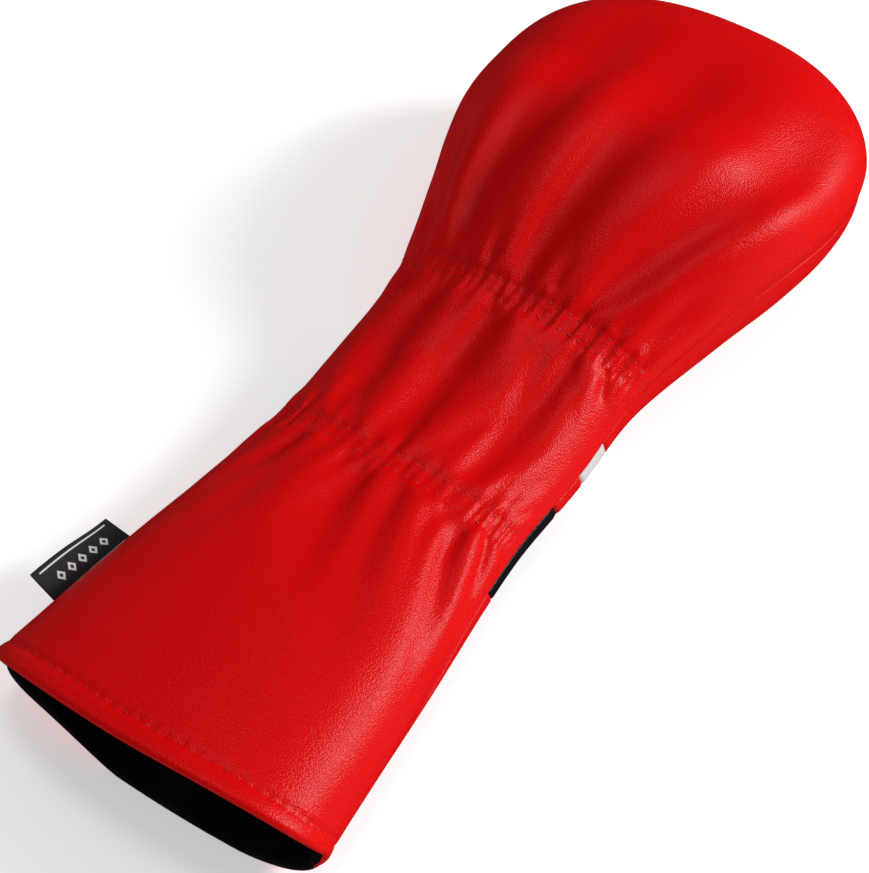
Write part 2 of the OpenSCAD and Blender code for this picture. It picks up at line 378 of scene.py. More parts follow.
@dataclass(frozen=True)
class Gather:
    """A row where an elastic band puckers the back panel between two stitch lines."""

    centre: float
    line_gap: float
    seed: int
    bow: float = 2.5 * MM
    pucker_pitch: float = 3.4 * MM
    pucker_depth: float = 0.80 * MM
    pucker_drift: float = 3.0
    pucker_slant: float = 0.12 / MM
    pucker_reach: float = 3.0 * MM
    pucker_stray: float = 1.6 * MM
    pleat_pitch: float = 7.5 * MM
    pleat_depth: float = 1.45 * MM
    pleat_drift: float = 2.2
    pleat_swing: float = 0.6
    pleat_reach: float = 8.0 * MM
    pinch: float = 0.22 * MM
    thread_half: float = 0.9 * MM
    right_fade: tuple[float, float] = (0.02, 0.13)
    left_fade: tuple[float, float] = (0.82, 0.97)

    def place(self, v: Array, f: Array) -> Array:
        """The distance of a point from the row's curved middle."""
        return v - self.centre + self.bow * np.sin(math.pi * np.clip(f, 0.0, 1.0)) - self.bow / 2

    def drifts(self, u: Array) -> list[Array]:
        """Three uneven curves along the row, from -1 to 1: for spacing, slant and depth."""
        rng = np.random.default_rng(self.seed)
        knots = np.linspace(-20 * MM, 220 * MM, 25)
        return [np.interp(u, knots, rng.uniform(-1.0, 1.0, len(knots))) for _ in range(3)]

    def depth_at(self, v: Array, f: Array, girth: Array) -> Array:
        """Measure how deep the row's puckers, pleats and stitch lines press the leather in.

        Args:
            v: rows of the panel, as a column.
            f: columns of the panel, as a row.
            girth: the panel's width at each row, as a column.

        Returns:
            The depth at every row and column, in metres.
        """
        off = self.place(v, f)
        u = f * np.interp(self.centre, v[:, 0], girth[:, 0])
        spacing, slant, depth = self.drifts(u)
        gap = np.maximum(np.abs(off) - self.line_gap / 2, 0.0)
        side = np.where(off > 0, 1.0, -1.0)

        turn = 2 * math.pi * u / self.pucker_pitch
        turn = turn + self.pucker_drift * spacing + self.pucker_slant * off
        puckers = (0.5 - 0.5 * np.cos(turn)) ** 0.8 * (0.62 + 0.38 * depth)
        puckers = puckers * np.exp(-((gap / (self.pucker_reach + self.pucker_stray * slant)) ** 2))

        swing = self.pleat_swing * side * np.clip(gap / (9 * MM), 0.0, 1.5)
        turn = 2 * math.pi * u / self.pleat_pitch
        turn = turn + self.pleat_drift * slant * (1.0 + 0.4 * side) + swing
        pleats = (0.5 - 0.5 * np.cos(turn)) ** 1.3 * (0.65 + 0.35 * depth)
        pleats = pleats * smooth(-0.4 * self.line_gap, 2.5 * MM, gap)
        pleats = pleats * np.exp(-gap / (self.pleat_reach * (1.0 + 0.5 * spacing)))

        threads = np.exp(-(((np.abs(off) - self.line_gap / 2) / self.thread_half) ** 2))
        sides = smooth(*self.right_fade, f) * (1.0 - smooth(*self.left_fade, f))
        return sides * (
            self.pucker_depth * puckers + self.pleat_depth * pleats
        ) + self.pinch * threads * (0.35 + 0.65 * sides)


LOWER_GATHER = Gather(centre=0.1185, line_gap=6 * MM, seed=11)
UPPER_GATHER = Gather(centre=0.1930, line_gap=6 * MM, seed=29)

HEAD_CREASES: tuple[Crease, ...] = (
    Crease(
        ((0.335, 198), (0.31, 215), (0.28, 240), (0.255, 285), (0.27, 365)),
        3.4 * MM, 4 * MM, 17 * MM,
    ),
    Crease(
        ((0.515, 198), (0.505, 220), (0.495, 245), (0.47, 285), (0.46, 365)),
        3.4 * MM, 4 * MM, 17 * MM,
    ),
    Crease(
        ((0.70, 198), (0.695, 215), (0.67, 238), (0.63, 270), (0.61, 365)),
        3.5 * MM, 4 * MM, 16 * MM,
    ),
    Crease(((0.83, 198), (0.835, 215), (0.83, 240), (0.80, 285)), 2.2 * MM, 3 * MM, 13 * MM),
    Crease(((0.135, 198), (0.15, 212), (0.17, 240)), 1.6 * MM, 3 * MM, 9 * MM),
    Crease(((0.42, 198), (0.43, 208), (0.45, 224)), 1.6 * MM, 2 * MM, 5 * MM),
    Crease(((0.60, 198), (0.60, 210), (0.585, 226)), 1.6 * MM, 2 * MM, 5 * MM),
    Crease(((0.25, 198), (0.24, 206), (0.22, 218)), 1.4 * MM, 2 * MM, 5 * MM),
    Crease(((0.09, 197), (0.04, 203), (-0.02, 209)), 1.2 * MM, 2 * MM, 3 * MM),
    Crease(((0.43, 198), (0.40, 228), (0.375, 260), (0.36, 320)), -1.5 * MM, 4 * MM, 11 * MM),
    Crease(((0.61, 198), (0.585, 225), (0.555, 255), (0.54, 310)), -1.4 * MM, 4 * MM, 10 * MM),
    Crease(((0.765, 198), (0.755, 222), (0.735, 250), (0.71, 290)), -1.3 * MM, 4 * MM, 9 * MM),
    Crease(((0.23, 198), (0.205, 225), (0.17, 255), (0.15, 310)), -1.4 * MM, 4 * MM, 11 * MM),
)

NECK_CREASES: tuple[Crease, ...] = (
    Crease(((0.30, 188), (0.305, 170), (0.31, 150), (0.31, 124)), 2.3 * MM, 3.5 * MM, 6 * MM),
    Crease(((0.52, 188), (0.53, 170), (0.53, 150), (0.525, 124)), 2.5 * MM, 4 * MM, 6 * MM),
    Crease(((0.525, 124), (0.53, 150), (0.53, 170), (0.52, 188)), 2.0 * MM, 4 * MM, 6 * MM),
    Crease(((0.31, 124), (0.31, 150), (0.305, 170), (0.30, 188)), 1.8 * MM, 4 * MM, 6 * MM),
    Crease(((0.68, 188), (0.70, 172), (0.69, 150), (0.68, 124)), 2.0 * MM, 3.5 * MM, 7 * MM),
    Crease(((0.70, 124), (0.69, 145), (0.70, 170)), 1.4 * MM, 3.5 * MM, 7 * MM),
    Crease(((0.40, 124), (0.395, 140), (0.40, 175)), 1.2 * MM, 3 * MM, 5 * MM),
    Crease(((0.20, 188), (0.17, 180), (0.12, 176)), 1.3 * MM, 2 * MM, 4 * MM),
    Crease(((0.60, 188), (0.60, 175), (0.59, 155)), 1.1 * MM, 2 * MM, 4 * MM),
    Crease(((0.78, 188), (0.83, 176), (0.86, 165)), 1.2 * MM, 3 * MM, 5 * MM),
    Crease(((0.22, 188), (0.235, 170), (0.22, 150), (0.21, 124)), -1.1 * MM, 3 * MM, 6 * MM),
    Crease(((0.42, 124), (0.42, 150), (0.425, 170), (0.43, 188)), -1.1 * MM, 4 * MM, 6 * MM),
    Crease(((0.60, 188), (0.61, 170), (0.61, 150), (0.60, 124)), -1.1 * MM, 4 * MM, 6 * MM),
)

CUFF_CREASES: tuple[Crease, ...] = (
    Crease(((0.265, 113), (0.235, 98), (0.19, 80), (0.15, 62)), 2.4 * MM, 3 * MM, 7 * MM),
    Crease(((0.42, 113), (0.405, 95), (0.36, 70), (0.29, 40)), 1.6 * MM, 3 * MM, 14 * MM),
    Crease(((0.53, 113), (0.525, 98), (0.505, 80), (0.48, 50)), 2.6 * MM, 3 * MM, 12 * MM),
    Crease(((0.705, 113), (0.715, 100), (0.71, 82), (0.68, 60)), 1.9 * MM, 3 * MM, 10 * MM),
    Crease(((0.575, 113), (0.575, 104), (0.57, 94)), 1.3 * MM, 2 * MM, 4 * MM),
    Crease(((0.31, 113), (0.31, 104), (0.29, 94)), 1.4 * MM, 2 * MM, 5 * MM),
    Crease(((0.16, 113), (0.12, 100), (0.07, 88)), 1.6 * MM, 2 * MM, 6 * MM),
    Crease(((0.83, 113), (0.84, 100), (0.83, 85)), 1.2 * MM, 3 * MM, 7 * MM),
    Crease(((0.08, 116), (0.03, 108), (-0.02, 98)), 1.2 * MM, 2 * MM, 4 * MM),
    Crease(((0.215, 114), (0.185, 98), (0.155, 80), (0.12, 50)), -1.4 * MM, 3 * MM, 9 * MM),
    Crease(((0.385, 113), (0.36, 90), (0.28, 60), (0.16, 10)), -1.5 * MM, 4 * MM, 13 * MM),
    Crease(((0.66, 114), (0.63, 85), (0.57, 60), (0.52, 35)), -1.4 * MM, 4 * MM, 12 * MM),
)


@dataclass(frozen=True)
class Relief:
    """Heights on evenly spaced rows and columns, read back as a smooth spline."""

    v_end: float
    heights: Array

    @staticmethod
    def weights(place: Array, count: int) -> Array:
        """Cubic spline weights of every sample, for places counted in samples.

        Args:
            place: places along the samples.
            count: how many samples there are.

        Returns:
            A table with a row for each place and a column for each sample.
        """
        low = np.clip(np.floor(place).astype(int), 0, count - 2)
        t = place - low
        parts = (
            (1 - t) ** 3 / 6,
            (3 * t**3 - 6 * t**2 + 4) / 6,
            (-3 * t**3 + 3 * t**2 + 3 * t + 1) / 6,
            t**3 / 6,
        )
        table = np.zeros((len(place), count))
        for step, part in enumerate(parts):
            index = np.clip(low + step - 1, 0, count - 1)
            np.add.at(table, (np.arange(len(place)), index), part)
        return table

    def read(self, v: Array, f: Array) -> Array:
        """Heights at every row v and column f.

        Args:
            v: rows of the panel.
            f: columns of the panel.

        Returns:
            The heights, rows by columns.
        """
        rows, cols = self.heights.shape
        down = self.weights(np.clip(v / self.v_end, 0.0, 1.0) * (rows - 1), rows)
        over = self.weights(np.clip(f, 0.0, 1.0) * (cols - 1), cols)
        return down @ self.heights @ over.T


@dataclass(frozen=True)
class GatherCloth:
    """Draws the back panel in from its wide cut, as cloth held at its seams and rows."""

    rows: int = 176
    columns: int = 84
    frames: int = 24
    slack: float = 0.10
    slack_reach: float = 22 * MM
    neck_share: float = 0.5
    lift_share: float = 0.3
    hold: float = 0.25
    row_half: float = 3.6 * MM
    quality: int = 6
    point_mass: float = 0.15
    air: float = 2.0
    stretch_stiffness: float = 80.0
    shear_stiffness: float = 32.0
    bend_stiffness: float = 200.0
    stretch_damping: float = 10.0
    bend_damping: float = 1.0

    def slack_at(self, v: Array) -> Array:
        """The share by which the cut is wider than the gathered panel.

        Args:
            v: rows of the panel.

        Returns:
            One share for each row.
        """
        off = np.minimum(np.abs(v - LOWER_GATHER.centre), np.abs(v - UPPER_GATHER.centre))
        share = self.slack * np.exp(-((off / self.slack_reach) ** 1.3))
        neck = (v > LOWER_GATHER.centre) & (v < UPPER_GATHER.centre)
        return np.where(neck, np.maximum(share, self.neck_share * self.slack), share)

    def cut(self, base: Array, v: Array) -> Array:
        """The panel before it is gathered.

        Args:
            base: points of the gathered panel.
            v: rows of the panel.

        Returns:
            The points, moved outwards from the middle.
        """
        share = self.slack_at(v)[:, None]
        seam = base[:, :1, 2]
        wide = base.copy()
        wide[..., 0] *= 1.0 + share
        wide[..., 2] = seam + (base[..., 2] - seam) * (1.0 + self.lift_share * share)
        return wide

    def pins(self, v: Array, f: Array) -> Array:
        """How firmly every point is held: 1 at seams, mouth and rows.

        Args:
            v: rows of the panel.
            f: columns of the panel.

        Returns:
            The hold at every row and column.
        """
        hold = np.full((len(v), len(f)), self.hold)
        for gather in (LOWER_GATHER, UPPER_GATHER):
            hold[np.abs(gather.place(v[:, None], f[None, :])) < self.row_half] = 1.0
        hold[:, [0, -1]] = 1.0
        hold[[0, 1, -2, -1], :] = 1.0
        return hold

    def sheet(self, wide: Array, target: Array, hold: Array) -> bpy.types.Object:
        """Make the cloth, with a shape key that draws its held points together.

        Args:
            wide: points of the panel as it is cut.
            target: points of the panel as it is gathered.
            hold: how firmly each point is held.

        Returns:
            The cloth, ready to run.
        """
        rows, cols = wide.shape[:2]
        i, j = np.meshgrid(np.arange(rows - 1), np.arange(cols - 1), indexing="ij")
        a = (i * cols + j).ravel()
        quads = np.stack([a, a + 1, a + cols + 1, a + cols], axis=1)
        mesh = bpy.data.meshes.new("cloth")
        mesh.from_pydata(wide.reshape(-1, 3).tolist(), [], quads.tolist())
        cloth = bpy.data.objects.new("cloth", mesh)
        bpy.context.scene.collection.objects.link(cloth)
        cloth.shape_key_add(name="Cut")
        drawn = cloth.shape_key_add(name="Gathered")
        drawn.data.foreach_set("co", target.ravel())
        for frame_number, value in ((1, 0.0), (self.frames // 2, 1.0)):
            drawn.value = value
            drawn.keyframe_insert("value", frame=frame_number)
        group = cloth.vertex_groups.new(name="held")
        flat = hold.ravel()
        for value in np.unique(flat):
            group.add(np.where(flat == value)[0].tolist(), float(value), "REPLACE")
        modifier = cloth.modifiers.new("Cloth", "CLOTH")
        settings = modifier.settings
        settings.quality = self.quality
        settings.mass = self.point_mass
        settings.air_damping = self.air
        for name in ("tension_stiffness", "compression_stiffness"):
            setattr(settings, name, self.stretch_stiffness)
        settings.shear_stiffness = self.shear_stiffness
        settings.bending_stiffness = self.bend_stiffness
        for name in ("tension_damping", "compression_damping", "shear_damping"):
            setattr(settings, name, self.stretch_damping)
        settings.bending_damping = self.bend_damping
        settings.vertex_group_mass = "held"
        settings.pin_stiffness = 1.0
        settings.effector_weights.gravity = 0.0
        modifier.collision_settings.use_collision = False
        modifier.point_cache.frame_start = 1
        modifier.point_cache.frame_end = self.frames
        return cloth

    def run(self, form: CoverForm, lift: Callable[[Array, Array], Array]) -> Relief:
        """Run the simulation.

        Args:
            form: the cover's form.
            lift: the height that guides the folds, for rows and columns.

        Returns:
            The height of the settled cloth over the form.
        """
        v_end = form.crown_end - 2 * MM
        v, f = np.linspace(0.0, v_end, self.rows), np.linspace(0.0, 1.0, self.columns)
        base = form.panel_point(Panel.BACK, v[:, None], f[None, :], 0.0)
        normal = form.outward(Panel.BACK, v[:, None], f[None, :])
        target = base + normal * lift(v, f)[..., None]
        cloth = self.sheet(self.cut(base, v), target, self.pins(v, f))
        stage = bpy.context.scene
        for number in range(1, self.frames + 1):
            stage.frame_set(number)
        settled = cloth.evaluated_get(bpy.context.evaluated_depsgraph_get()).to_mesh()
        points = np.empty(base.size)
        settled.vertices.foreach_get("co", points)
        heights = ((points.reshape(base.shape) - base) * normal).sum(axis=-1)
        action = cloth.data.shape_keys.animation_data.action
        bpy.data.objects.remove(cloth)
        bpy.data.actions.remove(action)
        stage.frame_set(1)
        log.info("cloth settled, %.1f to %.1f mm", heights.min() / MM, heights.max() / MM)
        return Relief(v_end, heights)


@dataclass
class Drape:
    """The displacement of the back panel from the smooth form.

    Drawn folds guide the cloth at seed_share of their depth. Afterwards they are blended with
    the settled cloth, by even_mix near the mouth and wholly past head_mix.
    """

    form: CoverForm
    gathers: tuple[Gather, ...] = (LOWER_GATHER, UPPER_GATHER)
    creases: tuple[Crease, ...] = HEAD_CREASES + NECK_CREASES + CUFF_CREASES
    fullness: float = 1.3 * MM
    drawn_share: float = 1.45
    row_sink: float = 1.2 * MM
    row_half: float = 5 * MM
    side_reach: float = 10 * MM
    seed_share: float = 1.6
    deepest: float = 3.5 * MM
    highest: float = 3.0 * MM
    head_mix: tuple[float, float] = (0.205, 0.245)
    even_mix: float = 0.45
    relief: Relief | None = None

    def folds(self, v: Array, f: Array, share: float = 1.0) -> Array:
        """Heights of the drawn folds, without the fine puckers.

        Args:
            v: rows of the panel.
            f: columns of the panel.
            share: how much of the drawn depth is used.

        Returns:
            The height over the form at every row and column.
        """
        column, row = v[:, None], f[None, :]
        girth = self.form.girth(Panel.BACK, v)[:, None]
        press = sum(crease.depth_at(column, row, girth) for crease in self.creases)
        sink = sum(
            np.exp(-((gather.place(column, row) / self.row_half) ** 2)) for gather in self.gathers
        )
        side = np.clip(np.minimum(f, 1.0 - f)[None, :] * girth / self.side_reach, 0.0, 1.0)
        return (self.fullness - share * press - self.row_sink * sink) * side

    def simulate(self) -> None:
        """Let the cloth find its own folds, guided by the drawn ones."""
        self.relief = GatherCloth().run(
            self.form, lambda v, f: self.folds(v, f, self.seed_share)
        )

    def rise(self, v: Array, f: Array) -> Array:
        """Measure how far the leather stands out of the form at every row and column.

        Args:
            v: rows of the panel.
            f: columns of the panel.

        Returns:
            The height in metres, below zero in a fold.
        """
        column, row = v[:, None], f[None, :]
        girth = self.form.girth(Panel.BACK, v)[:, None]
        height = self.folds(v, f, self.drawn_share)
        if self.relief:
            drawn = self.even_mix + (1.0 - self.even_mix) * smooth(*self.head_mix, column)
            height = drawn * height + (1.0 - drawn) * self.relief.read(v, f)
        height = np.where(
            height < 0,
            self.deepest * np.tanh(height / self.deepest),
            self.highest * np.tanh(height / self.highest),
        )
        fine = sum(gather.depth_at(column, row, girth) for gather in self.gathers)
        return height - fine


# ----------------------------------------------------------------------------------------
# Layers: closed sheets between two skins
# ----------------------------------------------------------------------------------------


def closed_layer(name: str, outer: Array, inner: Array, flip: bool) -> bpy.types.Object:
    """Build a closed sheet from two matching grids of points.

    Args:
        name: the piece's name.
        outer: rows by columns by three, the skin that faces outwards.
        inner: the same shape, the skin behind it.
        flip: whether the faces are wound the other way.

    Returns:
        The new object, smooth shaded, with a UV map in metres along rows and columns.
    """
    rows, cols = outer.shape[:2]
    side = rows * cols
    i, j = np.meshgrid(np.arange(rows - 1), np.arange(cols - 1), indexing="ij")
    a = (i * cols + j).ravel()
    top = np.stack([a, a + 1, a + cols + 1, a + cols], axis=1)
    bottom = np.stack([a, a + cols, a + cols + 1, a + 1], axis=1) + side
    rim_index = np.concatenate([
        np.arange(cols),
        np.arange(1, rows) * cols + cols - 1,
        (rows - 1) * cols + np.arange(cols - 2, -1, -1),
        np.arange(rows - 2, 0, -1) * cols,
    ])
    ahead = np.roll(rim_index, -1)
    rim = np.stack([ahead, rim_index, rim_index + side, ahead + side], axis=1)
    faces = np.concatenate([top, bottom, rim])
    if not flip:
        faces = faces[:, ::-1]
    mesh = bpy.data.meshes.new(name)
    points = np.concatenate([outer.reshape(-1, 3), inner.reshape(-1, 3)])
    mesh.from_pydata(points.tolist(), [], faces.tolist())
    across = np.zeros((rows, cols))
    across[:, 1:] = np.cumsum(np.linalg.norm(np.diff(outer, axis=1), axis=-1), axis=1)
    along = np.zeros((rows, cols))
    along[1:] = np.cumsum(np.linalg.norm(np.diff(outer, axis=0), axis=-1), axis=0)
    uv = np.stack([across, along], axis=-1).reshape(-1, 2)
    uv = np.concatenate([uv, uv])
    loops = np.empty(len(mesh.loops), int)
    mesh.loops.foreach_get("vertex_index", loops)
    layer = mesh.uv_layers.new(name="UVMap")
    layer.data.foreach_set("uv", uv[loops].astype(np.float32).ravel())
    mesh.polygons.foreach_set("use_smooth", np.ones(len(mesh.polygons), bool))
    mesh.update()
    piece = bpy.data.objects.new(name, mesh)
    bpy.context.scene.collection.objects.link(piece)
    return piece


@dataclass(frozen=True)
class Mesh:
    """How finely the sheets are divided."""

    edge_f: tuple[float, ...] = (0.0, 0.0015, 0.0035, 0.006, 0.009, 0.013, 0.018)
    step_f: float = 0.0072
    fine: float = 0.8 * MM
    coarse: float = 2.0 * MM
    crown_step: float = 0.6 * MM
    mouth_reach: float = 12 * MM
    crown_reach: float = 4 * MM
    gather_reach: tuple[float, float] = (12 * MM, 30 * MM)

    def columns(self) -> Array:
        """Columns of a panel, closer together at the side seams."""
        edge = np.array(self.edge_f)
        count = int(round((1.0 - 2.0 * edge[-1]) / self.step_f))
        middle = np.linspace(edge[-1], 1.0 - edge[-1], count + 1)[1:-1]
        return np.concatenate([edge, middle, 1.0 - edge[::-1]])

    def step(self, v: float, crown_end: float) -> float:
        """The distance from one row to the next.

        Args:
            v: the row.
            crown_end: the row at the crown seam.

        Returns:
            The step in metres.
        """
        if v > crown_end - self.crown_reach:
            return self.crown_step
        if v < self.mouth_reach:
            return self.fine
        near = min(abs(v - LOWER_GATHER.centre), abs(v - UPPER_GATHER.centre))
        return self.fine + (self.coarse - self.fine) * float(smooth(*self.gather_reach, near))

    def rows(self, low: float, high: float, crown_end: float) -> Array:
        """Rows between two places, closer together at the mouth and at the gathers.

        Args:
            low: the first row.
            high: the last row.
            crown_end: the row at the crown seam.

        Returns:
            The rows, rising.
        """
        marks = [low]
        while marks[-1] < high - 0.5 * MM:
            marks.append(min(high, marks[-1] + self.step(marks[-1], crown_end)))
        marks[-1] = high
        return np.array(marks)


@dataclass(frozen=True)
class SewnEdge:
    """How a panel's edge turns in at a seam."""

    radius: float = 1.3 * MM

    def dip(self, distance: Array) -> Array:
        """How far the surface has sunk at a distance from the seam."""
        inward = np.clip(self.radius - distance, 0.0, self.radius)
        return self.radius - np.sqrt(np.maximum(self.radius**2 - inward**2, 0.0))


@dataclass(frozen=True)
class Hem:
    """The rounded edge of the mouth, where leather and lining meet.

    Turns round the edge are in degrees, from the outside of the cover to its inside.
    """

    wall: float = 4.4 * MM
    edge_wall: float = 3.0 * MM
    edge_reach: float = 14.0 * MM
    back_turn: float = 105.0
    front_turn: float = 25.0
    seam_turn: float = 82.0
    first_turn: float = 9.0
    last_turn: float = 172.0
    lap_turn: float = 2.0
    seam_share: float = 0.07
    stitch_v: float = 5.5 * MM

    def turn_of(self, panel: Panel, f: Array) -> Array:
        """The angle round the edge at which the leather ends and the lining begins.

        Args:
            panel: the half of the cover.
            f: columns of the panel.

        Returns:
            One angle for each column, in degrees.
        """
        middle = self.back_turn if panel is Panel.BACK else self.front_turn
        inner = smooth(0.0, self.seam_share, np.minimum(f, 1.0 - f))
        return self.seam_turn + (middle - self.seam_turn) * inner

    @property
    def radius(self) -> float:
        """The radius of the rolled edge."""
        return self.edge_wall / 2

    def wall_at(self, v: Array) -> Array:
        """The whole thickness of the cover's wall, thin at its rolled edge."""
        return self.edge_wall + (self.wall - self.edge_wall) * smooth(
            2 * MM, self.edge_reach, v
        )


@dataclass
class Shell:
    """Places every layer of one panel between the outer form and the pocket inside."""

    form: CoverForm
    panel: Panel
    drape: Drape | None
    hem: Hem = field(default_factory=Hem)
    edge: SewnEdge = field(default_factory=SewnEdge)
    nose_steps: int = 12

    def rise(self, v: Array, f: Array) -> Array:
        """How far the leather stands out of the form."""
        if self.drape is not None:
            return self.drape.rise(v, f)
        return np.zeros((len(v), len(f)))

    def seam_distance(self, v: Array, f: Array) -> Array:
        """The distance of every point from the nearest side or crown seam.

        Args:
            v: rows of the panel.
            f: columns of the panel.

        Returns:
            The distance at every row and column, in metres.
        """
        girth = self.form.girth(self.panel, v)[:, None]
        across = np.minimum(f, 1.0 - f)[None, :] * girth
        reach = self.form.length - self.form.widest
        crown = (self.form.crown_end - v)[:, None] / MM * math.radians(1.0) * reach
        return np.minimum(across, crown)

    def skin(self, v: Array, f: Array, depth: Array | float, rise: Array) -> Array:
        """Find a skin's points at a depth below the draped leather.

        Args:
            v: rows of the panel.
            f: columns of the panel.
            depth: depth below the leather's face.
            rise: how far the leather stands out of the form.

        Returns:
            Rows by columns by three.
        """
        return self.skin_at(v[:, None], f[None, :], depth, rise)

    def skin_at(self, v: Array, f: Array, depth: Array | float, rise: Array) -> Array:
        """Find points of a skin whose rows and columns are given for every point.

        Args:
            v: the row of each point.
            f: the column of each point.
            depth: depth below the leather's face.
            rise: how far the leather stands out of the form.

        Returns:
            The points, none lower than its depth above the table.
        """
        base = self.form.panel_point(self.panel, v, f, 0.0)
        normal = self.form.outward(self.panel, v, f)
        points = base + normal * (rise - depth)[..., None]
        points[..., 2] = np.maximum(points[..., 2], depth)
        return points

    def nose(
        self, f: Array, rho: float, start: Array | float, end: Array | float, rise: Array
    ) -> Array:
        """Roll a skin round the mouth's edge.

        Args:
            f: columns of the skin.
            rho: the skin's radius about the middle of the wall.
            start: the turn of the first row in degrees, one for each column or for all.
            end: the turn of the last row.
            rise: how far the leather stands out; its first row is used.

        Returns:
            Rows by columns by three.
        """
        share = np.linspace(0.0, 1.0, self.nose_steps)[:, None]
        angle = np.radians(start + (end - start) * share)
        v = self.hem.radius - rho * np.sin(angle)
        depth = self.hem.radius - rho * np.cos(angle)
        edge = np.broadcast_to(rise[:1], angle.shape)
        return self.skin_at(v, f[None, :], depth, edge)


@dataclass(frozen=True)
class Grid:
    """A draped skin sampled on rows and columns, which stitches are laid on."""

    v: Array
    f: Array
    points: Array

    def at(self, v: Array, f: Array) -> Array:
        """Read the skin between its rows and columns.

        Args:
            v: the row of each point.
            f: the column of each point.

        Returns:
            An array of points with a last axis of three.
        """
        i = np.clip(np.searchsorted(self.v, v, side="right") - 1, 0, len(self.v) - 2)
        j = np.clip(np.searchsorted(self.f, f, side="right") - 1, 0, len(self.f) - 2)
        s = ((v - self.v[i]) / (self.v[i + 1] - self.v[i]))[..., None]
        t = ((f - self.f[j]) / (self.f[j + 1] - self.f[j]))[..., None]
        low = self.points[i, j] * (1 - t) + self.points[i, j + 1] * t
        high = self.points[i + 1, j] * (1 - t) + self.points[i + 1, j + 1] * t
        return low * (1 - s) + high * s


# ----------------------------------------------------------------------------------------
# Materials
# ----------------------------------------------------------------------------------------


class Value:
    """A number socket that can be used in Python expressions."""

    def __init__(self, book: "NodeBook", socket: bpy.types.NodeSocket) -> None:
        """Wrap an output socket of a node tree."""
        self.book = book
        self.socket = socket

    def math(self, operation: str, *others: "Value | float") -> "Value":
        """Add a Math node that starts with this value."""
        return self.book.math(operation, self, *others)

    def __add__(self, other: "Value | float") -> "Value":
        """Add."""
        return self.math("ADD", other)

    def __radd__(self, other: float) -> "Value":
        """Add, reflected."""
        return self.math("ADD", other)

    def __sub__(self, other: "Value | float") -> "Value":
        """Subtract."""
        return self.math("SUBTRACT", other)

    def __rsub__(self, other: float) -> "Value":
        """Subtract, reflected."""
        return self.book.math("SUBTRACT", other, self)

    def __mul__(self, other: "Value | float") -> "Value":
        """Multiply."""
        return self.math("MULTIPLY", other)

    def __rmul__(self, other: float) -> "Value":
        """Multiply, reflected."""
        return self.math("MULTIPLY", other)

    def __truediv__(self, other: "Value | float") -> "Value":
        """Divide."""
        return self.math("DIVIDE", other)

    def __rtruediv__(self, other: float) -> "Value":
        """Divide, reflected."""
        return self.book.math("DIVIDE", other, self)

    def above(self, low: float, high: float) -> "Value":
        """Rise smoothly from 0 at low to 1 at high."""
        node = self.book.node(
            "ShaderNodeMapRange",
            {"interpolation_type": "SMOOTHSTEP"},
            {"Value": self, "From Min": low, "From Max": high},
        )
        return Value(self.book, node.outputs["Result"])


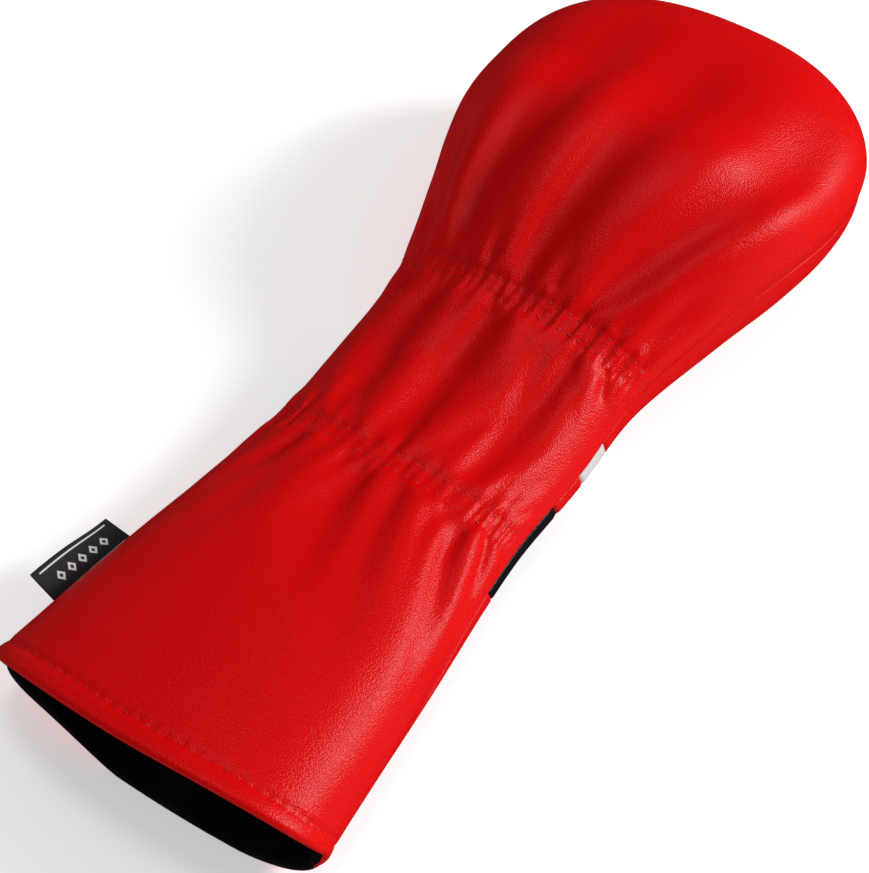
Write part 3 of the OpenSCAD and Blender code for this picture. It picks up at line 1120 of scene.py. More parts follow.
class NodeBook:
    """Adds nodes to one material."""

    def __init__(self, name: str) -> None:
        """Start a material with an empty node tree."""
        self.material = bpy.data.materials.new(name)
        self.material.use_nodes = True
        self.tree = self.material.node_tree
        self.tree.nodes.clear()

    def node(self, kind: str, settings: dict, inputs: dict) -> bpy.types.Node:
        """Add one node.

        Args:
            kind: the node's type.
            settings: its properties, set first.
            inputs: socket names or numbers, with values, sockets or Value objects.

        Returns:
            The new node.
        """
        node = self.tree.nodes.new(kind)
        for key, value in settings.items():
            setattr(node, key, value)
        for key, value in inputs.items():
            socket = node.inputs[key]
            if isinstance(value, Value):
                self.tree.links.new(value.socket, socket)
            elif isinstance(value, bpy.types.NodeSocket):
                self.tree.links.new(value, socket)
            else:
                socket.default_value = value
        return node

    def math(self, operation: str, *values: "Value | float") -> Value:
        """Add one Math node."""
        node = self.node("ShaderNodeMath", {"operation": operation}, dict(enumerate(values)))
        return Value(self, node.outputs[0])

    def place(self, source: str) -> bpy.types.NodeSocket:
        """The Object or UV coordinates."""
        return self.node("ShaderNodeTexCoord", {}, {}).outputs[source]

    def stretched(self, source: bpy.types.NodeSocket, scale: tuple) -> bpy.types.NodeSocket:
        """Scale coordinates with a Mapping node."""
        return self.node("ShaderNodeMapping", {}, {"Vector": source, "Scale": scale}).outputs[0]

    def noise(self, where: bpy.types.NodeSocket, scale: float, detail: float = 2.0) -> Value:
        """Add smooth noise.

        Args:
            where: coordinates in metres.
            scale: how many waves there are in a metre.
            detail: how many finer layers it has.

        Returns:
            The noise, from 0 to 1.
        """
        node = self.node(
            "ShaderNodeTexNoise", {}, {"Vector": where, "Scale": scale, "Detail": detail}
        )
        return Value(self, node.outputs["Fac"])

    def blend(self, share: Value, low: Colour, high: Colour) -> bpy.types.NodeSocket:
        """Mix two colours; 6 and 7 are the colour inputs of a Mix node, 2 its colour output.

        Args:
            share: 0 for the low colour and 1 for the high colour.
            low: a colour.
            high: a colour.

        Returns:
            The mixed colour.
        """
        inputs = {"Factor": share, 6: (*low, 1.0), 7: (*high, 1.0)}
        return self.node("ShaderNodeMix", {"data_type": "RGBA"}, inputs).outputs[2]

    def bump(self, height: Value, strength: float, distance: float) -> bpy.types.NodeSocket:
        """Turn a height into a normal.

        Args:
            height: the height, from 0 to 1.
            strength: the share of the bump that is used.
            distance: how high 1 stands, in metres.

        Returns:
            The normal.
        """
        inputs = {"Strength": strength, "Distance": distance, "Height": height}
        return self.node("ShaderNodeBump", {}, inputs).outputs["Normal"]

    def finish(self, **sockets: object) -> bpy.types.Material:
        """Close the tree with a Principled shader; underscores stand for spaces."""
        inputs = {key.replace("_", " "): value for key, value in sockets.items()}
        shader = self.node("ShaderNodeBsdfPrincipled", {}, inputs)
        self.node("ShaderNodeOutputMaterial", {}, {"Surface": shader.outputs["BSDF"]})
        return self.material


@dataclass(frozen=True)
class Leather:
    """Coated leather with a fine pebble grain and a soft gloss; its colour is darker in the
    grain's crevices, as painted shade.
    """

    name: str
    colour: Colour
    # The darker colour, used for random tone and for the painted shade in the grain's crevices.
    shade: Colour
    roughness: float = 0.31
    grain: float = 0.60 * MM
    depth: float = 0.085 * MM

    def material(self) -> bpy.types.Material:
        """Build the finish."""
        book = NodeBook(self.name)
        where = book.place("Object")
        warp = book.node(
            "ShaderNodeTexNoise", {}, {"Vector": where, "Scale": 700.0, "Detail": 1.0}
        ).outputs["Color"]
        moved = book.node(
            "ShaderNodeVectorMath",
            {"operation": "MULTIPLY_ADD"},
            {0: warp, 1: (0.0003, 0.0003, 0.0003), 2: where},
        ).outputs[0]
        pebble = Value(
            book,
            book.node(
                "ShaderNodeTexVoronoi",
                {"feature": "SMOOTH_F1"},
                {"Vector": moved, "Scale": 1.0 / self.grain, "Smoothness": 0.35},
            ).outputs["Distance"],
        )
        broad = book.noise(where, 28.0, 3.0)
        fine = book.noise(where, 3800.0, 2.0)
        domes = 1.0 - pebble.above(0.15, 0.85)
        height = domes + 0.25 * fine
        # Random broad tone, plus painted shade that darkens the crevices between the raised
        # pebbles.
        tone_and_crevice_shade = (broad - 0.5) * 0.5 + 0.35 * domes + 0.35
        return book.finish(
            Base_Color=book.blend(tone_and_crevice_shade, self.shade, self.colour),
            Roughness=self.roughness + 0.10 * (broad - 0.5) - 0.05 * domes + 0.03,
            Normal=book.bump(height, 0.8, self.depth),
            Specular_IOR_Level=0.11,
        )


@dataclass(frozen=True)
class Plush:
    """Short velvet pile, with lighter brushed streaks painted in as sheen."""

    name: str
    colour: Colour

    def material(self) -> bpy.types.Material:
        """Build the finish."""
        book = NodeBook(self.name)
        where = book.place("Object")
        pile = book.noise(where, 2600.0, 2.0)
        brushed_pile_and_sheen = book.noise(book.stretched(where, (1.0, 0.35, 1.0)), 60.0, 3.0)
        # Painted sheen: the colour is lifted along the brushed streaks, where the pile stands up.
        lift = tuple(2.2 * c for c in self.colour)
        return book.finish(
            Base_Color=book.blend(brushed_pile_and_sheen.above(0.35, 0.7), self.colour, lift),
            Roughness=0.9 + 0.1 * (pile - 0.5),
            Normal=book.bump(pile + 0.8 * brushed_pile_and_sheen, 0.6, 0.25 * MM),
            Sheen_Weight=0.12,
            Sheen_Roughness=0.35,
            Sheen_Tint=(0.7, 0.7, 0.75, 1.0),
            Specular_IOR_Level=0.25,
        )


@dataclass(frozen=True)
class Thread:
    """Twisted sewing thread, with painted shade in the grooves of its twist."""

    name: str
    colour: Colour

    def material(self) -> bpy.types.Material:
        """Build the finish."""
        book = NodeBook(self.name)
        where = book.place("Object")
        twist = Value(
            book,
            book.node(
                "ShaderNodeTexWave",
                {"bands_direction": "DIAGONAL"},
                {"Vector": where, "Scale": 900.0, "Distortion": 1.5},
            ).outputs["Fac"],
        )
        # Painted shade: the colour darkens where the twist sinks.
        hollow_shade = tuple(0.75 * c for c in self.colour)
        return book.finish(
            Base_Color=book.blend(twist, hollow_shade, self.colour),
            Roughness=0.5 + 0.1 * twist,
            Normal=book.bump(twist, 0.5, 0.08 * MM),
            Specular_IOR_Level=0.4,
        )


@dataclass(frozen=True)
class Foam:
    """Open-cell foam, with painted shade in the hollows between its cells."""

    name: str
    colour: Colour

    def material(self) -> bpy.types.Material:
        """Build the finish."""
        book = NodeBook(self.name)
        where = book.place("Object")
        cells = Value(
            book,
            book.node("ShaderNodeTexVoronoi", {}, {"Vector": where, "Scale": 1400.0}).outputs[
                "Distance"
            ],
        )
        # Painted shade: the colour darkens in the low ground between the raised cells.
        hollow_shade = tuple(0.7 * c for c in self.colour)
        return book.finish(
            Base_Color=book.blend(cells.above(0.2, 0.7), self.colour, hollow_shade),
            Roughness=0.9 + 0.05 * cells,
            Normal=book.bump(1.0 - cells, 0.5, 0.2 * MM),
            Specular_IOR_Level=0.2,
        )


# One band of a Wave texture at a scale of 1
WAVE_PERIOD = 0.314


@dataclass(frozen=True)
class Webbing:
    """Ribbed elastic webbing, with painted shade between its ribs."""

    name: str
    colour: Colour
    pitch: float = 0.9 * MM

    def material(self) -> bpy.types.Material:
        """Build the finish."""
        book = NodeBook(self.name)
        where = book.place("UV")
        ribs = Value(
            book,
            book.node(
                "ShaderNodeTexWave",
                {"bands_direction": "Y"},
                {"Vector": where, "Scale": WAVE_PERIOD / self.pitch, "Distortion": 0.3},
            ).outputs["Fac"],
        )
        # Painted shade: the colour darkens in the valleys between the ribs.
        hollow_shade = tuple(0.7 * c for c in self.colour)
        return book.finish(
            Base_Color=book.blend(ribs, hollow_shade, self.colour),
            Roughness=0.75 + 0.1 * ribs,
            Normal=book.bump(ribs, 0.6, 0.2 * MM),
            Specular_IOR_Level=0.3,
        )


@dataclass(frozen=True)
class WovenTape:
    """Satin-woven tape with a plain border and a row of lozenges; UV is in metres."""

    name: str
    colour: Colour
    motif: Colour
    length: float
    width: float
    thread: float = 0.32 * MM

    def material(self) -> bpy.types.Material:
        """Build the finish."""
        book = NodeBook(self.name)
        where = book.place("UV")
        apart = book.node("ShaderNodeSeparateXYZ", {}, {"Vector": where})
        out = Value(book, apart.outputs["X"])
        along = Value(book, apart.outputs["Y"])
        pitch = self.length / 7.0
        cell = (along / pitch).math("FRACT") - 0.5
        lozenge = cell.math("ABSOLUTE") * 2.0 + (out - 0.5 * self.width).math("ABSOLUTE") / (
            0.24 * self.width
        )
        diamonds = 1.0 - lozenge.above(0.62, 0.74)
        hearts = 1.0 - lozenge.above(0.24, 0.34)
        edge_out = (out - 0.5 * self.width).math("ABSOLUTE")
        rail = edge_out.above(0.355 * self.width, 0.37 * self.width) * (
            1.0 - edge_out.above(0.40 * self.width, 0.415 * self.width)
        )
        inside = (
            along.above(0.06 * self.length, 0.075 * self.length)
            * (1.0 - along.above(0.925 * self.length, 0.94 * self.length))
            * (1.0 - edge_out.above(0.5 * self.width, 0.52 * self.width))
        )
        row = along.above(0.14 * self.length, 0.145 * self.length) * (
            1.0 - along.above(0.855 * self.length, 0.86 * self.length)
        )
        figure = inside * (row * (diamonds - hearts) + rail).math("MINIMUM", 1.0)
        warp = (along * (2 * math.pi / self.thread)).math("SINE")
        weft = (out * (2 * math.pi / self.thread)).math("SINE")
        weave = warp * weft * 0.5 + 0.5
        inked = figure * (0.75 + 0.25 * weave)
        return book.finish(
            Base_Color=book.blend(inked, self.colour, self.motif),
            Roughness=0.55 + 0.2 * weave,
            Normal=book.bump(weave + 0.6 * figure, 0.5, 0.10 * MM),
            Specular_IOR_Level=0.35,
            Sheen_Weight=0.1,
        )


@dataclass
class Finishes:
    """Every finish of the cover, made once."""

    red: bpy.types.Material
    black: bpy.types.Material
    white: bpy.types.Material
    plush: bpy.types.Material
    red_thread: bpy.types.Material
    black_thread: bpy.types.Material
    foam: bpy.types.Material
    webbing: bpy.types.Material


def make_finishes() -> Finishes:
    """Build the shared finishes."""
    return Finishes(
        red=Leather("red_leather", (0.66, 0.0010, 0.0016), (0.56, 0.0006, 0.0010)).material(),
        black=Leather("black_leather", (0.011, 0.010, 0.012), (0.008, 0.007, 0.009)).material(),
        white=Leather("white_leather", (0.62, 0.60, 0.60), (0.54, 0.52, 0.52)).material(),
        plush=Plush("black_plush", (0.0040, 0.0032, 0.0036)).material(),
        red_thread=Thread("red_thread", (0.62, 0.003, 0.005)).material(),
        black_thread=Thread("black_thread", (0.012, 0.011, 0.012)).material(),
        foam=Foam("padding_foam", (0.62, 0.61, 0.58)).material(),
        webbing=Webbing("elastic_webbing", (0.74, 0.72, 0.69)).material(),
    )


def dress(piece: bpy.types.Object, finish: bpy.types.Material, node: str) -> None:
    """Give a piece its finish and its body, and hide the CAD node that it stands for.

    Args:
        piece: the piece.
        finish: its material.
        node: the CAD node's name.
    """
    piece.data.materials.clear()
    piece.data.materials.append(finish)
    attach(piece, "cover")
    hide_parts(node)
    log.info("%s: %d faces", piece.name, len(piece.data.polygons))


# ----------------------------------------------------------------------------------------
# Sub-assemblies
# ----------------------------------------------------------------------------------------


@dataclass
class PanelBuilder:
    """Builds the leather, the padding and the lining of one half of the cover."""

    shell: Shell
    mesh: Mesh
    leather_t: float = 1.2 * MM
    lining_t: float = 1.2 * MM
    elastic_t: float = 1.0 * MM
    elastic_drawn_t: float = 0.8 * MM
    elastic_w: float = 10.0 * MM
    elastic_gap: float = 0.06 * MM
    elastic_room: tuple[float, float] = (6.5 * MM, 9.5 * MM)
    inner_share: float = 0.55
    foam_start: float = 6.0 * MM
    foam_gap: float = 0.05 * MM
    foam_least: float = 0.25 * MM
    channel_depth: float = 0.80 * MM
    channel_width: float = 1.1 * MM
    dimple_pitch: float = 3.9 * MM
    dimple_share: float = 0.3
    joint_share: float = 0.35
    joint_sharpness: float = 1.6

    @property
    def panel(self) -> Panel:
        """Which half this is."""
        return self.shell.panel

    def hem_channel(self, v: Array, f: Array) -> Array:
        """The shallow dimpled channel that the hem stitching pulls into the leather.

        Args:
            v: rows of the panel.
            f: columns of the panel.

        Returns:
            The depth at every row and column.
        """
        off = (v - self.shell.hem.stitch_v) / self.channel_width
        width = float(self.shell.form.girth(self.panel, np.array([self.shell.hem.stitch_v]))[0])
        ripple = np.cos(2 * math.pi * f * width / self.dimple_pitch)
        dimples = 1.0 - self.dimple_share + self.dimple_share * ripple
        return self.channel_depth * np.exp(-(off**2))[:, None] * dimples[None, :]

    def leather_skins(
        self, low: float, high: float, cuts: tuple[float, ...]
    ) -> tuple[Array, Array, Grid]:
        """Find both skins of a piece of leather.

        Args:
            low: where the piece starts; 0 is the mouth and adds the rounded edge.
            high: where it ends.
            cuts: the ends at which it is sewn to another piece.

        Returns:
            The outer skin, the inner skin and the outer skin as a grid for stitches.
        """
        hem, shell, f = self.shell.hem, self.shell, self.mesh.columns()
        start = hem.radius if low == 0.0 else low
        v = self.mesh.rows(start, high, shell.form.crown_end)
        dip = shell.edge.dip(shell.seam_distance(v, f))
        for cut in cuts:
            joint = shell.edge.dip(np.abs(v - cut) * self.joint_sharpness)[:, None]
            dip = np.maximum(dip, self.joint_share * joint)
        rise = shell.rise(v, f) - self.hem_channel(v, f) - dip
        outer = shell.skin(v, f, 0.0, rise)
        inner = shell.skin(v, f, self.leather_t, rise)
        grid = Grid(v, f, outer)
        if low == 0.0:
            turn, first = hem.turn_of(self.panel, f)[None, :], hem.first_turn
            outer = np.concatenate([shell.nose(f, hem.radius, turn, first, rise), outer])
            thin = hem.radius - self.leather_t
            inner = np.concatenate([shell.nose(f, thin, turn, first, rise), inner])
        return outer, inner, grid

    def leather(
        self, name: str, low: float, high: float, cuts: tuple[float, ...] = ()
    ) -> tuple[bpy.types.Object, Grid]:
        """Build one piece of leather.

        Args:
            name: the piece's name.
            low: where it starts.
            high: where it ends.
            cuts: the ends at which it is sewn to another piece.

        Returns:
            The piece, and its outer skin as a grid for stitches.
        """
        outer, inner, grid = self.leather_skins(low, high, cuts)
        return closed_layer(name, outer, inner, self.panel is Panel.FRONT), grid

    def sparse(self, low: float) -> tuple[Array, Array]:
        """Coarser rows and columns for the layers behind the leather.

        Args:
            low: where the layer starts.

        Returns:
            The rows and the columns.
        """
        v = self.mesh.rows(low, self.shell.form.crown_end, self.shell.form.crown_end)
        v = np.concatenate([v[:-1:2], v[-1:]])
        f = self.mesh.columns()
        return v, np.concatenate([f[:-1:2], f[-1:]])

    def squeeze(self, v: Array) -> Array:
        """The room that an elastic band takes from the foam.

        Args:
            v: rows of the panel.

        Returns:
            The room, as a column.
        """
        if self.panel is Panel.FRONT:
            return np.zeros((len(v), 1))
        off = np.minimum(np.abs(v - LOWER_GATHER.centre), np.abs(v - UPPER_GATHER.centre))
        return self.elastic_t * (1.0 - smooth(*self.elastic_room, off))[:, None]

    def foam_depths(self, v: Array) -> tuple[Array, Array]:
        """How deep the foam's two skins lie below the leather's face, before it is creased.

        Args:
            v: rows of the panel.

        Returns:
            The depth of the outer and of the inner skin, each as a column.
        """
        low = self.shell.hem.wall_at(v)[:, None] - self.lining_t - self.foam_gap
        high = np.minimum(
            self.leather_t + 2 * self.foam_gap + self.squeeze(v), low - self.foam_least
        )
        return high, low

    def inner_rise(self, v: Array, f: Array) -> Array:
        """How far the lining follows the folds, with the foam never pressed to nothing.

        Args:
            v: rows of the panel.
            f: columns of the panel.

        Returns:
            The height at every row and column.
        """
        rise = self.shell.rise(v, f)
        high, low = self.foam_depths(v)
        return np.minimum(self.inner_share * rise, rise + low - high - self.foam_least)

    def padding(self, name: str) -> bpy.types.Object:
        """Build the foam between the leather and the lining.

        Args:
            name: the piece's name.

        Returns:
            The piece.
        """
        v, f = self.sparse(self.foam_start)
        high, low = (depth + 0.0 * f[None, :] for depth in self.foam_depths(v))
        outer = self.shell.skin(v, f, high, self.shell.rise(v, f))
        inner = self.shell.skin(v, f, low, self.inner_rise(v, f))
        return closed_layer(name, outer, inner, self.panel is Panel.FRONT)

    def lining(self, name: str) -> bpy.types.Object:
        """Build the lining, which rolls over the mouth's edge and covers the pocket.

        Args:
            name: the piece's name.

        Returns:
            The piece.
        """
        hem, shell = self.shell.hem, self.shell
        v, f = self.sparse(hem.radius)
        rise = self.inner_rise(v, f)
        wall = hem.wall_at(v)[:, None] + 0.0 * f[None, :]
        hidden = shell.skin(v, f, wall - self.lining_t, rise)
        shown = shell.skin(v, f, wall, rise)
        turn, last = hem.turn_of(self.panel, f)[None, :] + hem.lap_turn, hem.last_turn
        thin = shell.nose(f, hem.radius - self.lining_t, turn, last, rise)
        hidden = np.concatenate([thin, hidden])
        shown = np.concatenate([shell.nose(f, hem.radius, turn, last, rise), shown])
        return closed_layer(name, hidden, shown, self.panel is Panel.FRONT)

    def elastic(self, name: str, gather: Gather) -> bpy.types.Object:
        """Build the band of webbing behind a gathered row.

        Args:
            name: the piece's name.
            gather: the row.

        Returns:
            The piece.
        """
        half = self.elastic_w / 2
        v = np.linspace(gather.centre - half, gather.centre + half, 13)
        f = self.mesh.columns()[4:-4]
        rise, depth = self.shell.rise(v, f), self.leather_t + self.elastic_gap
        outer = self.shell.skin(v, f, depth, rise)
        inner = self.shell.skin(v, f, depth + self.elastic_drawn_t, rise)
        return closed_layer(name, outer, inner, False)

    def flat_cut(self, low: float, high: float, fullness: float = 1.0) -> tuple[float, ...]:
        """The width, length and area that a piece between two rows is cut to, when flat.

        Args:
            low: where the piece starts.
            high: where it ends.
            fullness: how much wider it is cut than it ends up.

        Returns:
            The width and length in metres and the area in square metres.
        """
        v = np.linspace(low, high, 60)
        girth = self.shell.form.girth(self.panel, v) * fullness
        return float(girth.max()), high - low, float(girth.mean() * (high - low))


Rows = tuple[Array, Array, Array]


def along_run(run: Array, values: Array, place: Array) -> Array:
    """Read points or directions at places along a run.

    Args:
        run: the run at each value.
        values: points or directions, one in each row.
        place: places along the run.

    Returns:
        One point or direction for each place.
    """
    return np.stack([np.interp(place, run, values[:, k]) for k in range(3)], axis=1)


@dataclass(frozen=True)
class Stitching:
    """Lays single stitches on a skin."""

    thread: float = 0.58 * MM
    length: float = 2.4 * MM
    pitch: float = 3.9 * MM
    sunk: float = 0.06 * MM
    sag: float = 0.55
    blunt: float = 0.8

    def pattern(self) -> bpy.types.Object:
        """Model one stitch: a thread that dives into the leather at both ends."""
        deselect_all()
        bpy.ops.mesh.primitive_uv_sphere_add(segments=8, ring_count=8, radius=0.5)
        stitch = bpy.context.object
        co = np.empty(len(stitch.data.vertices) * 3)
        stitch.data.vertices.foreach_get("co", co)
        co = co.reshape(-1, 3)[:, [2, 0, 1]]
        shape = np.sign(co[:, 0]) * np.abs(2 * co[:, 0]) ** self.blunt / 2
        sag = -(np.abs(shape * 2) ** 3) * self.sag * self.thread
        co = np.stack(
            [shape * self.length, co[:, 1] * self.thread, co[:, 2] * self.thread + sag], axis=1
        )
        stitch.data.vertices.foreach_set("co", co.ravel())
        stitch.data.update()
        return stitch

    def lay(self, name: str, places: Array, along: Array, up: Array) -> bpy.types.Object:
        """Copy the stitch to every place.

        Args:
            name: the piece's name.
            places: middle points of the stitches.
            along: directions of the thread.
            up: directions out of the skin.

        Returns:
            One object that holds all the stitches.
        """
        pattern = self.pattern()
        co = np.empty(len(pattern.data.vertices) * 3)
        pattern.data.vertices.foreach_get("co", co)
        co = co.reshape(-1, 3)
        faces = [tuple(p.vertices) for p in pattern.data.polygons]
        bpy.data.objects.remove(pattern)
        x = along / np.linalg.norm(along, axis=1, keepdims=True)
        y = np.cross(up, x)
        y /= np.linalg.norm(y, axis=1, keepdims=True)
        z = np.cross(x, y)
        points = (
            places[:, None]
            - self.sunk * z[:, None]
            + co[None, :, :1] * x[:, None]
            + co[None, :, 1:2] * y[:, None]
            + co[None, :, 2:] * z[:, None]
        )
        mesh = bpy.data.meshes.new(name)
        copies = [
            tuple(corner + first for corner in face)
            for first in range(0, len(places) * len(co), len(co))
            for face in faces
        ]
        mesh.from_pydata(points.reshape(-1, 3).tolist(), [], copies)
        mesh.polygons.foreach_set("use_smooth", np.ones(len(mesh.polygons), bool))
        mesh.update()
        piece = bpy.data.objects.new(name, mesh)
        bpy.context.scene.collection.objects.link(piece)
        return piece

    def spaced(self, points: Array) -> tuple[Array, Array]:
        """The run along a line of points, and the middles of the stitches on it.

        Args:
            points: points along the line.

        Returns:
            The run at each point, and the run at each stitch's middle.
        """
        steps = np.linalg.norm(np.diff(points, axis=0), axis=1)
        run = np.concatenate([[0.0], np.cumsum(steps)])
        count = max(1, int(run[-1] / self.pitch))
        return run, (np.arange(count) + 0.5) / count * run[-1]

    def line(self, points: Array, up: Array) -> Rows:
        """Space stitches along a line of points with their outward directions.

        Args:
            points: points along the line.
            up: the direction out of the skin at each point.

        Returns:
            Places, directions along the thread and directions out of the skin.
        """
        run, marks = self.spaced(points)
        half = self.length / 2
        along = along_run(run, points, marks + half) - along_run(run, points, marks - half)
        return along_run(run, points, marks), along, along_run(run, up, marks)

    def row(
        self, form: CoverForm, grid: Grid, panel: Panel, line: Array, low: float, high: float
    ) -> Rows:
        """Lay stitches along a line of the panel.

        Args:
            form: the cover's form.
            grid: the skin that they lie on.
            panel: the half of the cover.
            line: v at evenly spaced f from 0 to 1.
            low: the first f.
            high: the last f.

        Returns:
            Places, directions along the thread and directions out of the skin.
        """
        f = np.linspace(low, high, 400)
        v = np.interp(f, np.linspace(0, 1, len(line)), line)
        run, marks = self.spaced(form.panel_point(panel, v, f, 0.0))
        half = self.length / 2
        fa, fb = np.interp(marks - half, run, f), np.interp(marks + half, run, f)
        va, vb = np.interp(marks - half, run, v), np.interp(marks + half, run, v)
        a, b = grid.at(va, fa), grid.at(vb, fb)
        middle_f, middle_v = np.interp(marks, run, f), np.interp(marks, run, v)
        up = form.outward(panel, middle_v, middle_f)
        middle = grid.at(middle_v, middle_f)
        return 0.5 * middle + 0.25 * (a + b), b - a, up


@dataclass
class SideLabel:
    """The folded woven tag that stands out of the left seam near the mouth."""

    out: float = 12.5 * MM
    layer: float = 0.38 * MM
    root: float = 2.5 * MM
    length_share: float = 0.97
    bend_radius: float = 0.285 * MM
    swell: float = 0.35 * MM
    tilt_mouth: float = 30.0
    tilt_far: float = -6.0
    curl: float = 9.0
    blend_from: float = -0.5 * MM
    blend_to: float = 3.0 * MM
    tape: Colour = (0.012, 0.011, 0.013)
    motif: Colour = (0.78, 0.77, 0.75)

    def folded(self, share: Array) -> tuple[Array, Array]:
        """Fold a strip in half.

        Args:
            share: places along the strip, from 0 to 1.

        Returns:
            How far each place stands out of the seam, and how far above the fold's middle.
        """
        reach = self.out + self.root
        fold = math.pi * self.bend_radius
        strip = 2 * reach + fold
        s = share * strip
        angle = np.clip((s - reach) / self.bend_radius, 0.0, math.pi)
        bend = reach + self.bend_radius * np.sin(angle)
        out = np.where(s < reach, s, np.where(s > reach + fold, strip - s, bend))
        swell = self.swell * np.sin(math.pi * np.clip(out / reach, 0, 1))
        flat = angle % math.pi == 0
        lift = self.bend_radius * np.cos(angle) + flat * swell * np.sign(np.cos(angle))
        return out - self.root, lift

    def build(self) -> bpy.types.Object:
        """Fold a strip of tape, twist it and set it on the seam's line.

        Returns:
            The tag.
        """
        hinge = frame["joints"][0]
        low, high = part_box("side_label")
        axis = Vector(hinge["axis"]).normalized()
        seam = Vector(hinge["pos_m"])
        length = (high.y - low.y) * self.length_share
        across = Vector((-1, 0, 0))
        across = (across - axis * across.dot(axis)).normalized()
        up = Vector((1, 0, 0)).cross(axis).normalized()
        deselect_all()
        bpy.ops.mesh.primitive_grid_add(x_subdivisions=48, y_subdivisions=28, size=2.0)
        tag = bpy.context.object
        tag.name = "woven_side_label"
        mesh = tag.data
        co = np.empty(len(mesh.vertices) * 3)
        mesh.vertices.foreach_get("co", co)
        co = co.reshape(-1, 3)
        out, lift = self.folded((co[:, 0] + 1) / 2)
        t = co[:, 1]
        middle = (self.tilt_mouth + self.tilt_far) / 2
        swing = (self.tilt_far - self.tilt_mouth) / 2
        tilt = np.radians(middle + swing * np.sin(t * math.pi / 2))
        tilt = tilt + self.curl * np.clip(out, 0, 1) * np.sin(1.3 * t + 0.4)
        points = (
            np.array(seam)
            + np.array(axis) * (t * length / 2)[:, None]
            + np.array(across) * (out * np.cos(tilt) - lift * np.sin(tilt))[:, None]
            + np.array(up) * (out * np.sin(tilt) + lift * np.cos(tilt))[:, None]
        )
        mesh.vertices.foreach_set("co", points.ravel())
        loops = np.empty(len(mesh.loops), int)
        mesh.loops.foreach_get("vertex_index", loops)
        uv = np.stack([np.clip(out, 0, None), (t + 1) / 2 * length], axis=1)
        mesh.uv_layers[0].data.foreach_set("uv", uv[loops].astype(np.float32).ravel())
        mesh.update()
        self.thicken(tag)
        finish = WovenTape("woven_label", self.tape, self.motif, length, self.out).material()
        tag.data.materials.clear()
        tag.data.materials.append(finish)
        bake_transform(tag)
        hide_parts("side_label")
        log.info("%s: %d faces", tag.name, len(tag.data.polygons))
        return tag

    def thicken(self, tag: bpy.types.Object) -> None:
        """Turn the folded strip's faces outwards and give the tape its thickness."""
        make_active(tag)
        bpy.ops.object.mode_set(mode="EDIT")
        bpy.ops.mesh.select_all(action="SELECT")
        bpy.ops.mesh.normals_make_consistent(inside=False)
        bpy.ops.object.mode_set(mode="OBJECT")
        wall = tag.modifiers.new("Tape", "SOLIDIFY")
        wall.thickness = self.layer
        wall.offset = 0.0
        bpy.ops.object.modifier_apply(modifier=wall.name)
        bpy.ops.object.shade_smooth_by_angle(angle=math.radians(40))
        settle(tag)


# ----------------------------------------------------------------------------------------
# Studio
# ----------------------------------------------------------------------------------------


@dataclass(frozen=True)
class SoftBox:
    """A square studio light, named for what it does."""

    name: str
    direction: tuple[float, float, float]
    distance: float
    size: float
    watts: float

    def place(self, aim: Vector) -> None:
        """Hang the light and point it at the cover."""
        data = bpy.data.lights.new(self.name, "AREA")
        data.shape = "SQUARE"
        data.size = self.size
        data.energy = self.watts
        lamp = bpy.data.objects.new(self.name, data)
        bpy.context.scene.collection.objects.link(lamp)
        way = Vector(self.direction).normalized()
        lamp.location = aim + way * self.distance
        lamp.rotation_euler = (-way).to_track_quat("-Z", "Y").to_euler()


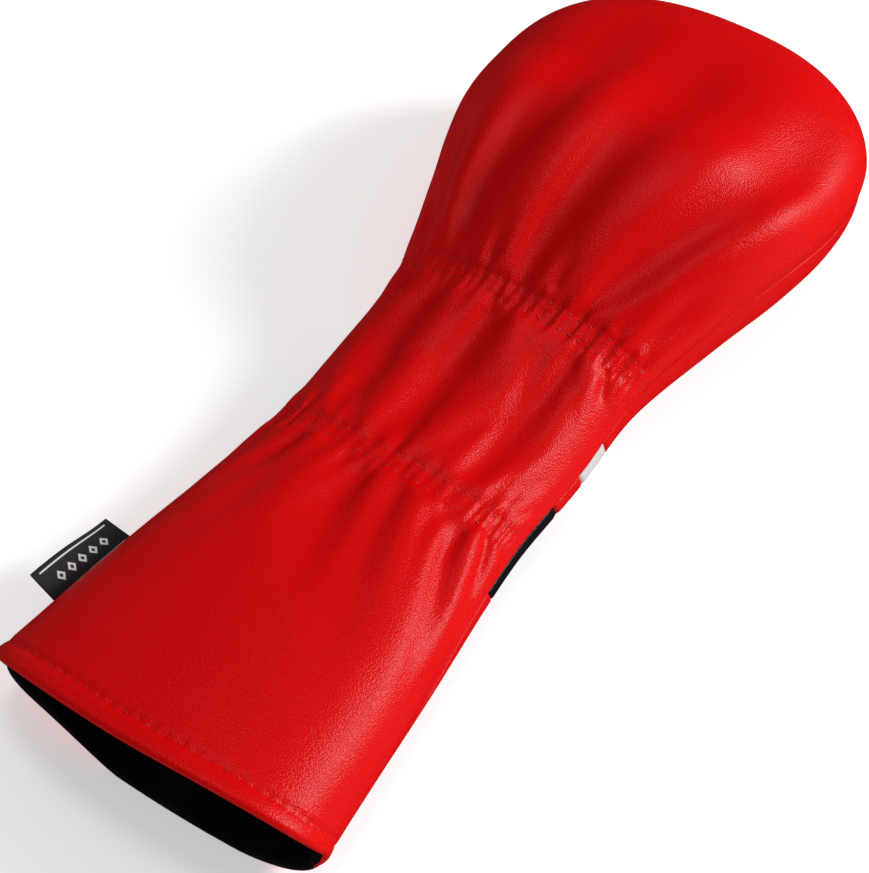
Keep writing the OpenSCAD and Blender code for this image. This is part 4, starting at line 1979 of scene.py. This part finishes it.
@dataclass(frozen=True)
class Studio:
    """A pale floor, soft lights and the camera."""

    azimuth: float = 33.98
    elevation: float = 49.36
    distance: float = 0.757
    lens: float = 91.9
    shift: tuple[float, float] = (-0.0591, -0.0790)
    centre: tuple[float, float, float] = (0.0, 0.0, 0.025)
    room: float = 0.30
    floor_size: float = 12.0
    floor_drop: float = 0.05 * MM
    floor_glow: float = 0.42
    boxes: tuple[SoftBox, ...] = (
        SoftBox("key", (0.66, 0.52, 0.46), 2.6, 0.75, 66.0),
        SoftBox("sheen", (-0.06, 0.08, 1.00), 2.2, 0.55, 7.0),
    )

    def camera(self) -> None:
        """Aim the camera at the cover's middle, from above its mouth and to the right."""
        az, el = math.radians(self.azimuth), math.radians(self.elevation)
        back = Vector((math.sin(az) * math.cos(el), -math.cos(az) * math.cos(el), math.sin(el)))
        data = bpy.data.cameras.new("camera")
        data.lens = self.lens
        data.sensor_fit = "AUTO"
        data.clip_end = 20.0
        data.shift_x, data.shift_y = self.shift
        eye = bpy.data.objects.new("camera", data)
        bpy.context.scene.collection.objects.link(eye)
        eye.location = Vector(self.centre) + back * self.distance
        eye.rotation_euler = (-back).to_track_quat("-Z", "Y").to_euler()
        bpy.context.scene.camera = eye

    def floor(self) -> None:
        """Lay a plain pale floor under the cover."""
        deselect_all()
        bpy.ops.mesh.primitive_plane_add(
            size=self.floor_size, location=(0, 0, -self.floor_drop)
        )
        ground = bpy.context.object
        ground.name = "floor"
        book = NodeBook("pale_floor")
        where = book.place("Object")
        cloud = book.noise(where, 3.0, 2.0)
        ground.data.materials.append(
            book.finish(
                Base_Color=book.blend(cloud, (0.86, 0.86, 0.86), (0.90, 0.90, 0.90)),
                Roughness=0.85,
                Specular_IOR_Level=0.1,
                Emission_Color=(1.0, 1.0, 1.0, 1.0),
                Emission_Strength=self.floor_glow,
            )
        )
        ground.visible_glossy = False

    def lights(self) -> None:
        """Hang the soft boxes and light the room evenly."""
        for box in self.boxes:
            box.place(Vector(self.centre))
        world = bpy.data.worlds.new("studio")
        world.use_nodes = True
        light = world.node_tree.nodes["Background"].inputs
        light["Color"].default_value = (1, 1, 1, 1)
        light["Strength"].default_value = self.room
        bpy.context.scene.world = world
        world.cycles_visibility.glossy = False
        bpy.context.scene.view_settings.view_transform = "Standard"


# ----------------------------------------------------------------------------------------
# Assembly
# ----------------------------------------------------------------------------------------

BANDS: tuple[tuple[str, str, str, float, float], ...] = (
    ("front_cuff_leather", "front_cuff_panel", "red_leather", 0.0, 0.114),
    ("front_black_band_leather", "front_black_band", "black_leather", 0.114, 0.154),
    ("front_neck_leather", "front_neck_panel", "red_leather", 0.154, 0.169),
    ("front_white_band_leather", "front_white_band", "white_leather", 0.169, 0.184),
    ("front_head_leather", "front_head_panel", "red_leather", 0.184, 0.380),
)


@dataclass(frozen=True)
class Sewing:
    """Sews the cover: topstitching on its leather, and hidden thread in its seams."""

    form: CoverForm
    back: Grid
    front: Grid
    finishes: Finishes
    stitch: Stitching = field(default_factory=Stitching)
    seam_depth: float = 2.1 * MM
    band_depth: float = 0.95 * MM
    lining_depth: float = 4.6 * MM
    seam_start: float = 6 * MM
    lining_start: float = 20 * MM

    def put(self, name: str, node: str, colour: str, rows: list[Rows]) -> None:
        """Make one piece of thread, red or black, from its rows of stitches.

        Args:
            name: the piece's name.
            node: the CAD node that it stands for.
            colour: red or black.
            rows: the rows of stitches.
        """
        places, along, up = (np.concatenate(part) for part in zip(*rows))
        finish = getattr(self.finishes, f"{colour}_thread")
        dress(self.stitch.lay(name, places, along, up), finish, node)

    def inside(self, panel: Panel, v: Array | float, f: Array | float, depth: float) -> Rows:
        """Hidden stitches along a line at a depth below the leather.

        Args:
            panel: the half of the cover.
            v: distance from the mouth, then turn over the crown.
            f: place across the panel, from its right seam to its left seam.
            depth: depth below the leather's face.

        Returns:
            Places, directions along the thread and directions out of the skin.
        """
        v, f = np.broadcast_arrays(v, f)
        points, up = self.form.panel_point(panel, v, f, depth), self.form.outward(panel, v, f)
        return self.stitch.line(points, up)

    def topstitch(self) -> None:
        """Sew round the mouth and along the gathered rows."""
        hem = np.full(3, Hem.stitch_v)
        rows = [
            self.stitch.row(self.form, grid, panel, hem, 0.01, 0.99)
            for panel, grid in ((Panel.BACK, self.back), (Panel.FRONT, self.front))
        ]
        self.put("hem_topstitch", "hem_stitching", "red", rows)
        f = np.linspace(0.0, 1.0, 41)
        for gather, side in ((UPPER_GATHER, "upper"), (LOWER_GATHER, "lower")):
            middle = gather.centre - gather.bow * np.sin(math.pi * f) + gather.bow / 2
            lines = (middle - gather.line_gap / 2, middle + gather.line_gap / 2)
            rows = [
                self.stitch.row(self.form, self.back, Panel.BACK, line, 0.02, 0.98)
                for line in lines
            ]
            self.put(f"{side}_gather_topstitch", f"{side}_gather_stitching", "red", rows)

    def seams(self) -> None:
        """Sew the side seams, the crown seam, the bands' joints and the lining's seams."""
        crown = self.form.crown_end
        v = np.linspace(self.seam_start, crown - 2 * MM, 240)
        rows = [self.inside(Panel.BACK, v, side, self.seam_depth) for side in (0.0, 1.0)]
        over = np.linspace(0.02, 0.98, 160)
        rows.append(self.inside(Panel.BACK, crown, over, self.seam_depth))
        self.put("side_seam_thread", "side_seam_stitching", "red", rows)
        across = np.linspace(0.03, 0.97, 120)
        rows = [
            self.inside(Panel.FRONT, low, across, self.band_depth)
            for *_, low, _ in BANDS
            if low > 0.0
        ]
        self.put("band_seam_thread", "band_stitching", "black", rows)
        v = np.linspace(self.lining_start, self.form.widest, 160)
        rows = [self.inside(Panel.BACK, v, side, self.lining_depth) for side in (0.0, 1.0)]
        self.put("lining_seam_thread", "lining_seam_stitching", "black", rows)


def main() -> None:
    """Build the studio and the cover."""
    studio = Studio()
    studio.camera()
    studio.floor()
    studio.lights()
    finishes = make_finishes()
    looks = {
        "red_leather": finishes.red,
        "black_leather": finishes.black,
        "white_leather": finishes.white,
    }
    form = form_from_frame()
    drape = Drape(form)
    drape.simulate()
    back = PanelBuilder(Shell(form, Panel.BACK, drape), Mesh())
    front = PanelBuilder(Shell(form, Panel.FRONT, None), Mesh(step_f=0.0105))

    piece, back_grid = back.leather("back_panel_leather", 0.0, form.crown_end)
    dress(piece, finishes.red, "back_panel")
    back.flat_cut(0.0, form.crown_end, 1.0 + 0.5 * GatherCloth.slack)
    for name, node, slot, low, high in BANDS:
        cuts = tuple(end for end in (low, high) if end not in (0.0, form.crown_end))
        piece, grid = front.leather(name, low, high, cuts)
        dress(piece, looks[slot], node)
        front.flat_cut(low, high)
        if low == 0.0:
            front_grid = grid
    for panel, side in ((back, "back"), (front, "front")):
        foam = panel.padding(f"{side}_foam")
        dress(foam, finishes.foam, f"{side}_padding")
        lining = panel.lining(f"{side}_plush_lining")
        dress(lining, finishes.plush, f"{side}_lining")
        panel.flat_cut(0.0, form.crown_end)
    for gather, side in ((UPPER_GATHER, "upper"), (LOWER_GATHER, "lower")):
        band = back.elastic(f"{side}_elastic_band", gather)
        dress(band, finishes.webbing, f"{side}_elastic")
        back.flat_cut(gather.centre - 5 * MM, gather.centre + 5 * MM)
    sewing = Sewing(form, back_grid, front_grid, finishes)
    sewing.topstitch()
    sewing.seams()
    SideLabel().build()


if __name__ == "__main__":
    main()
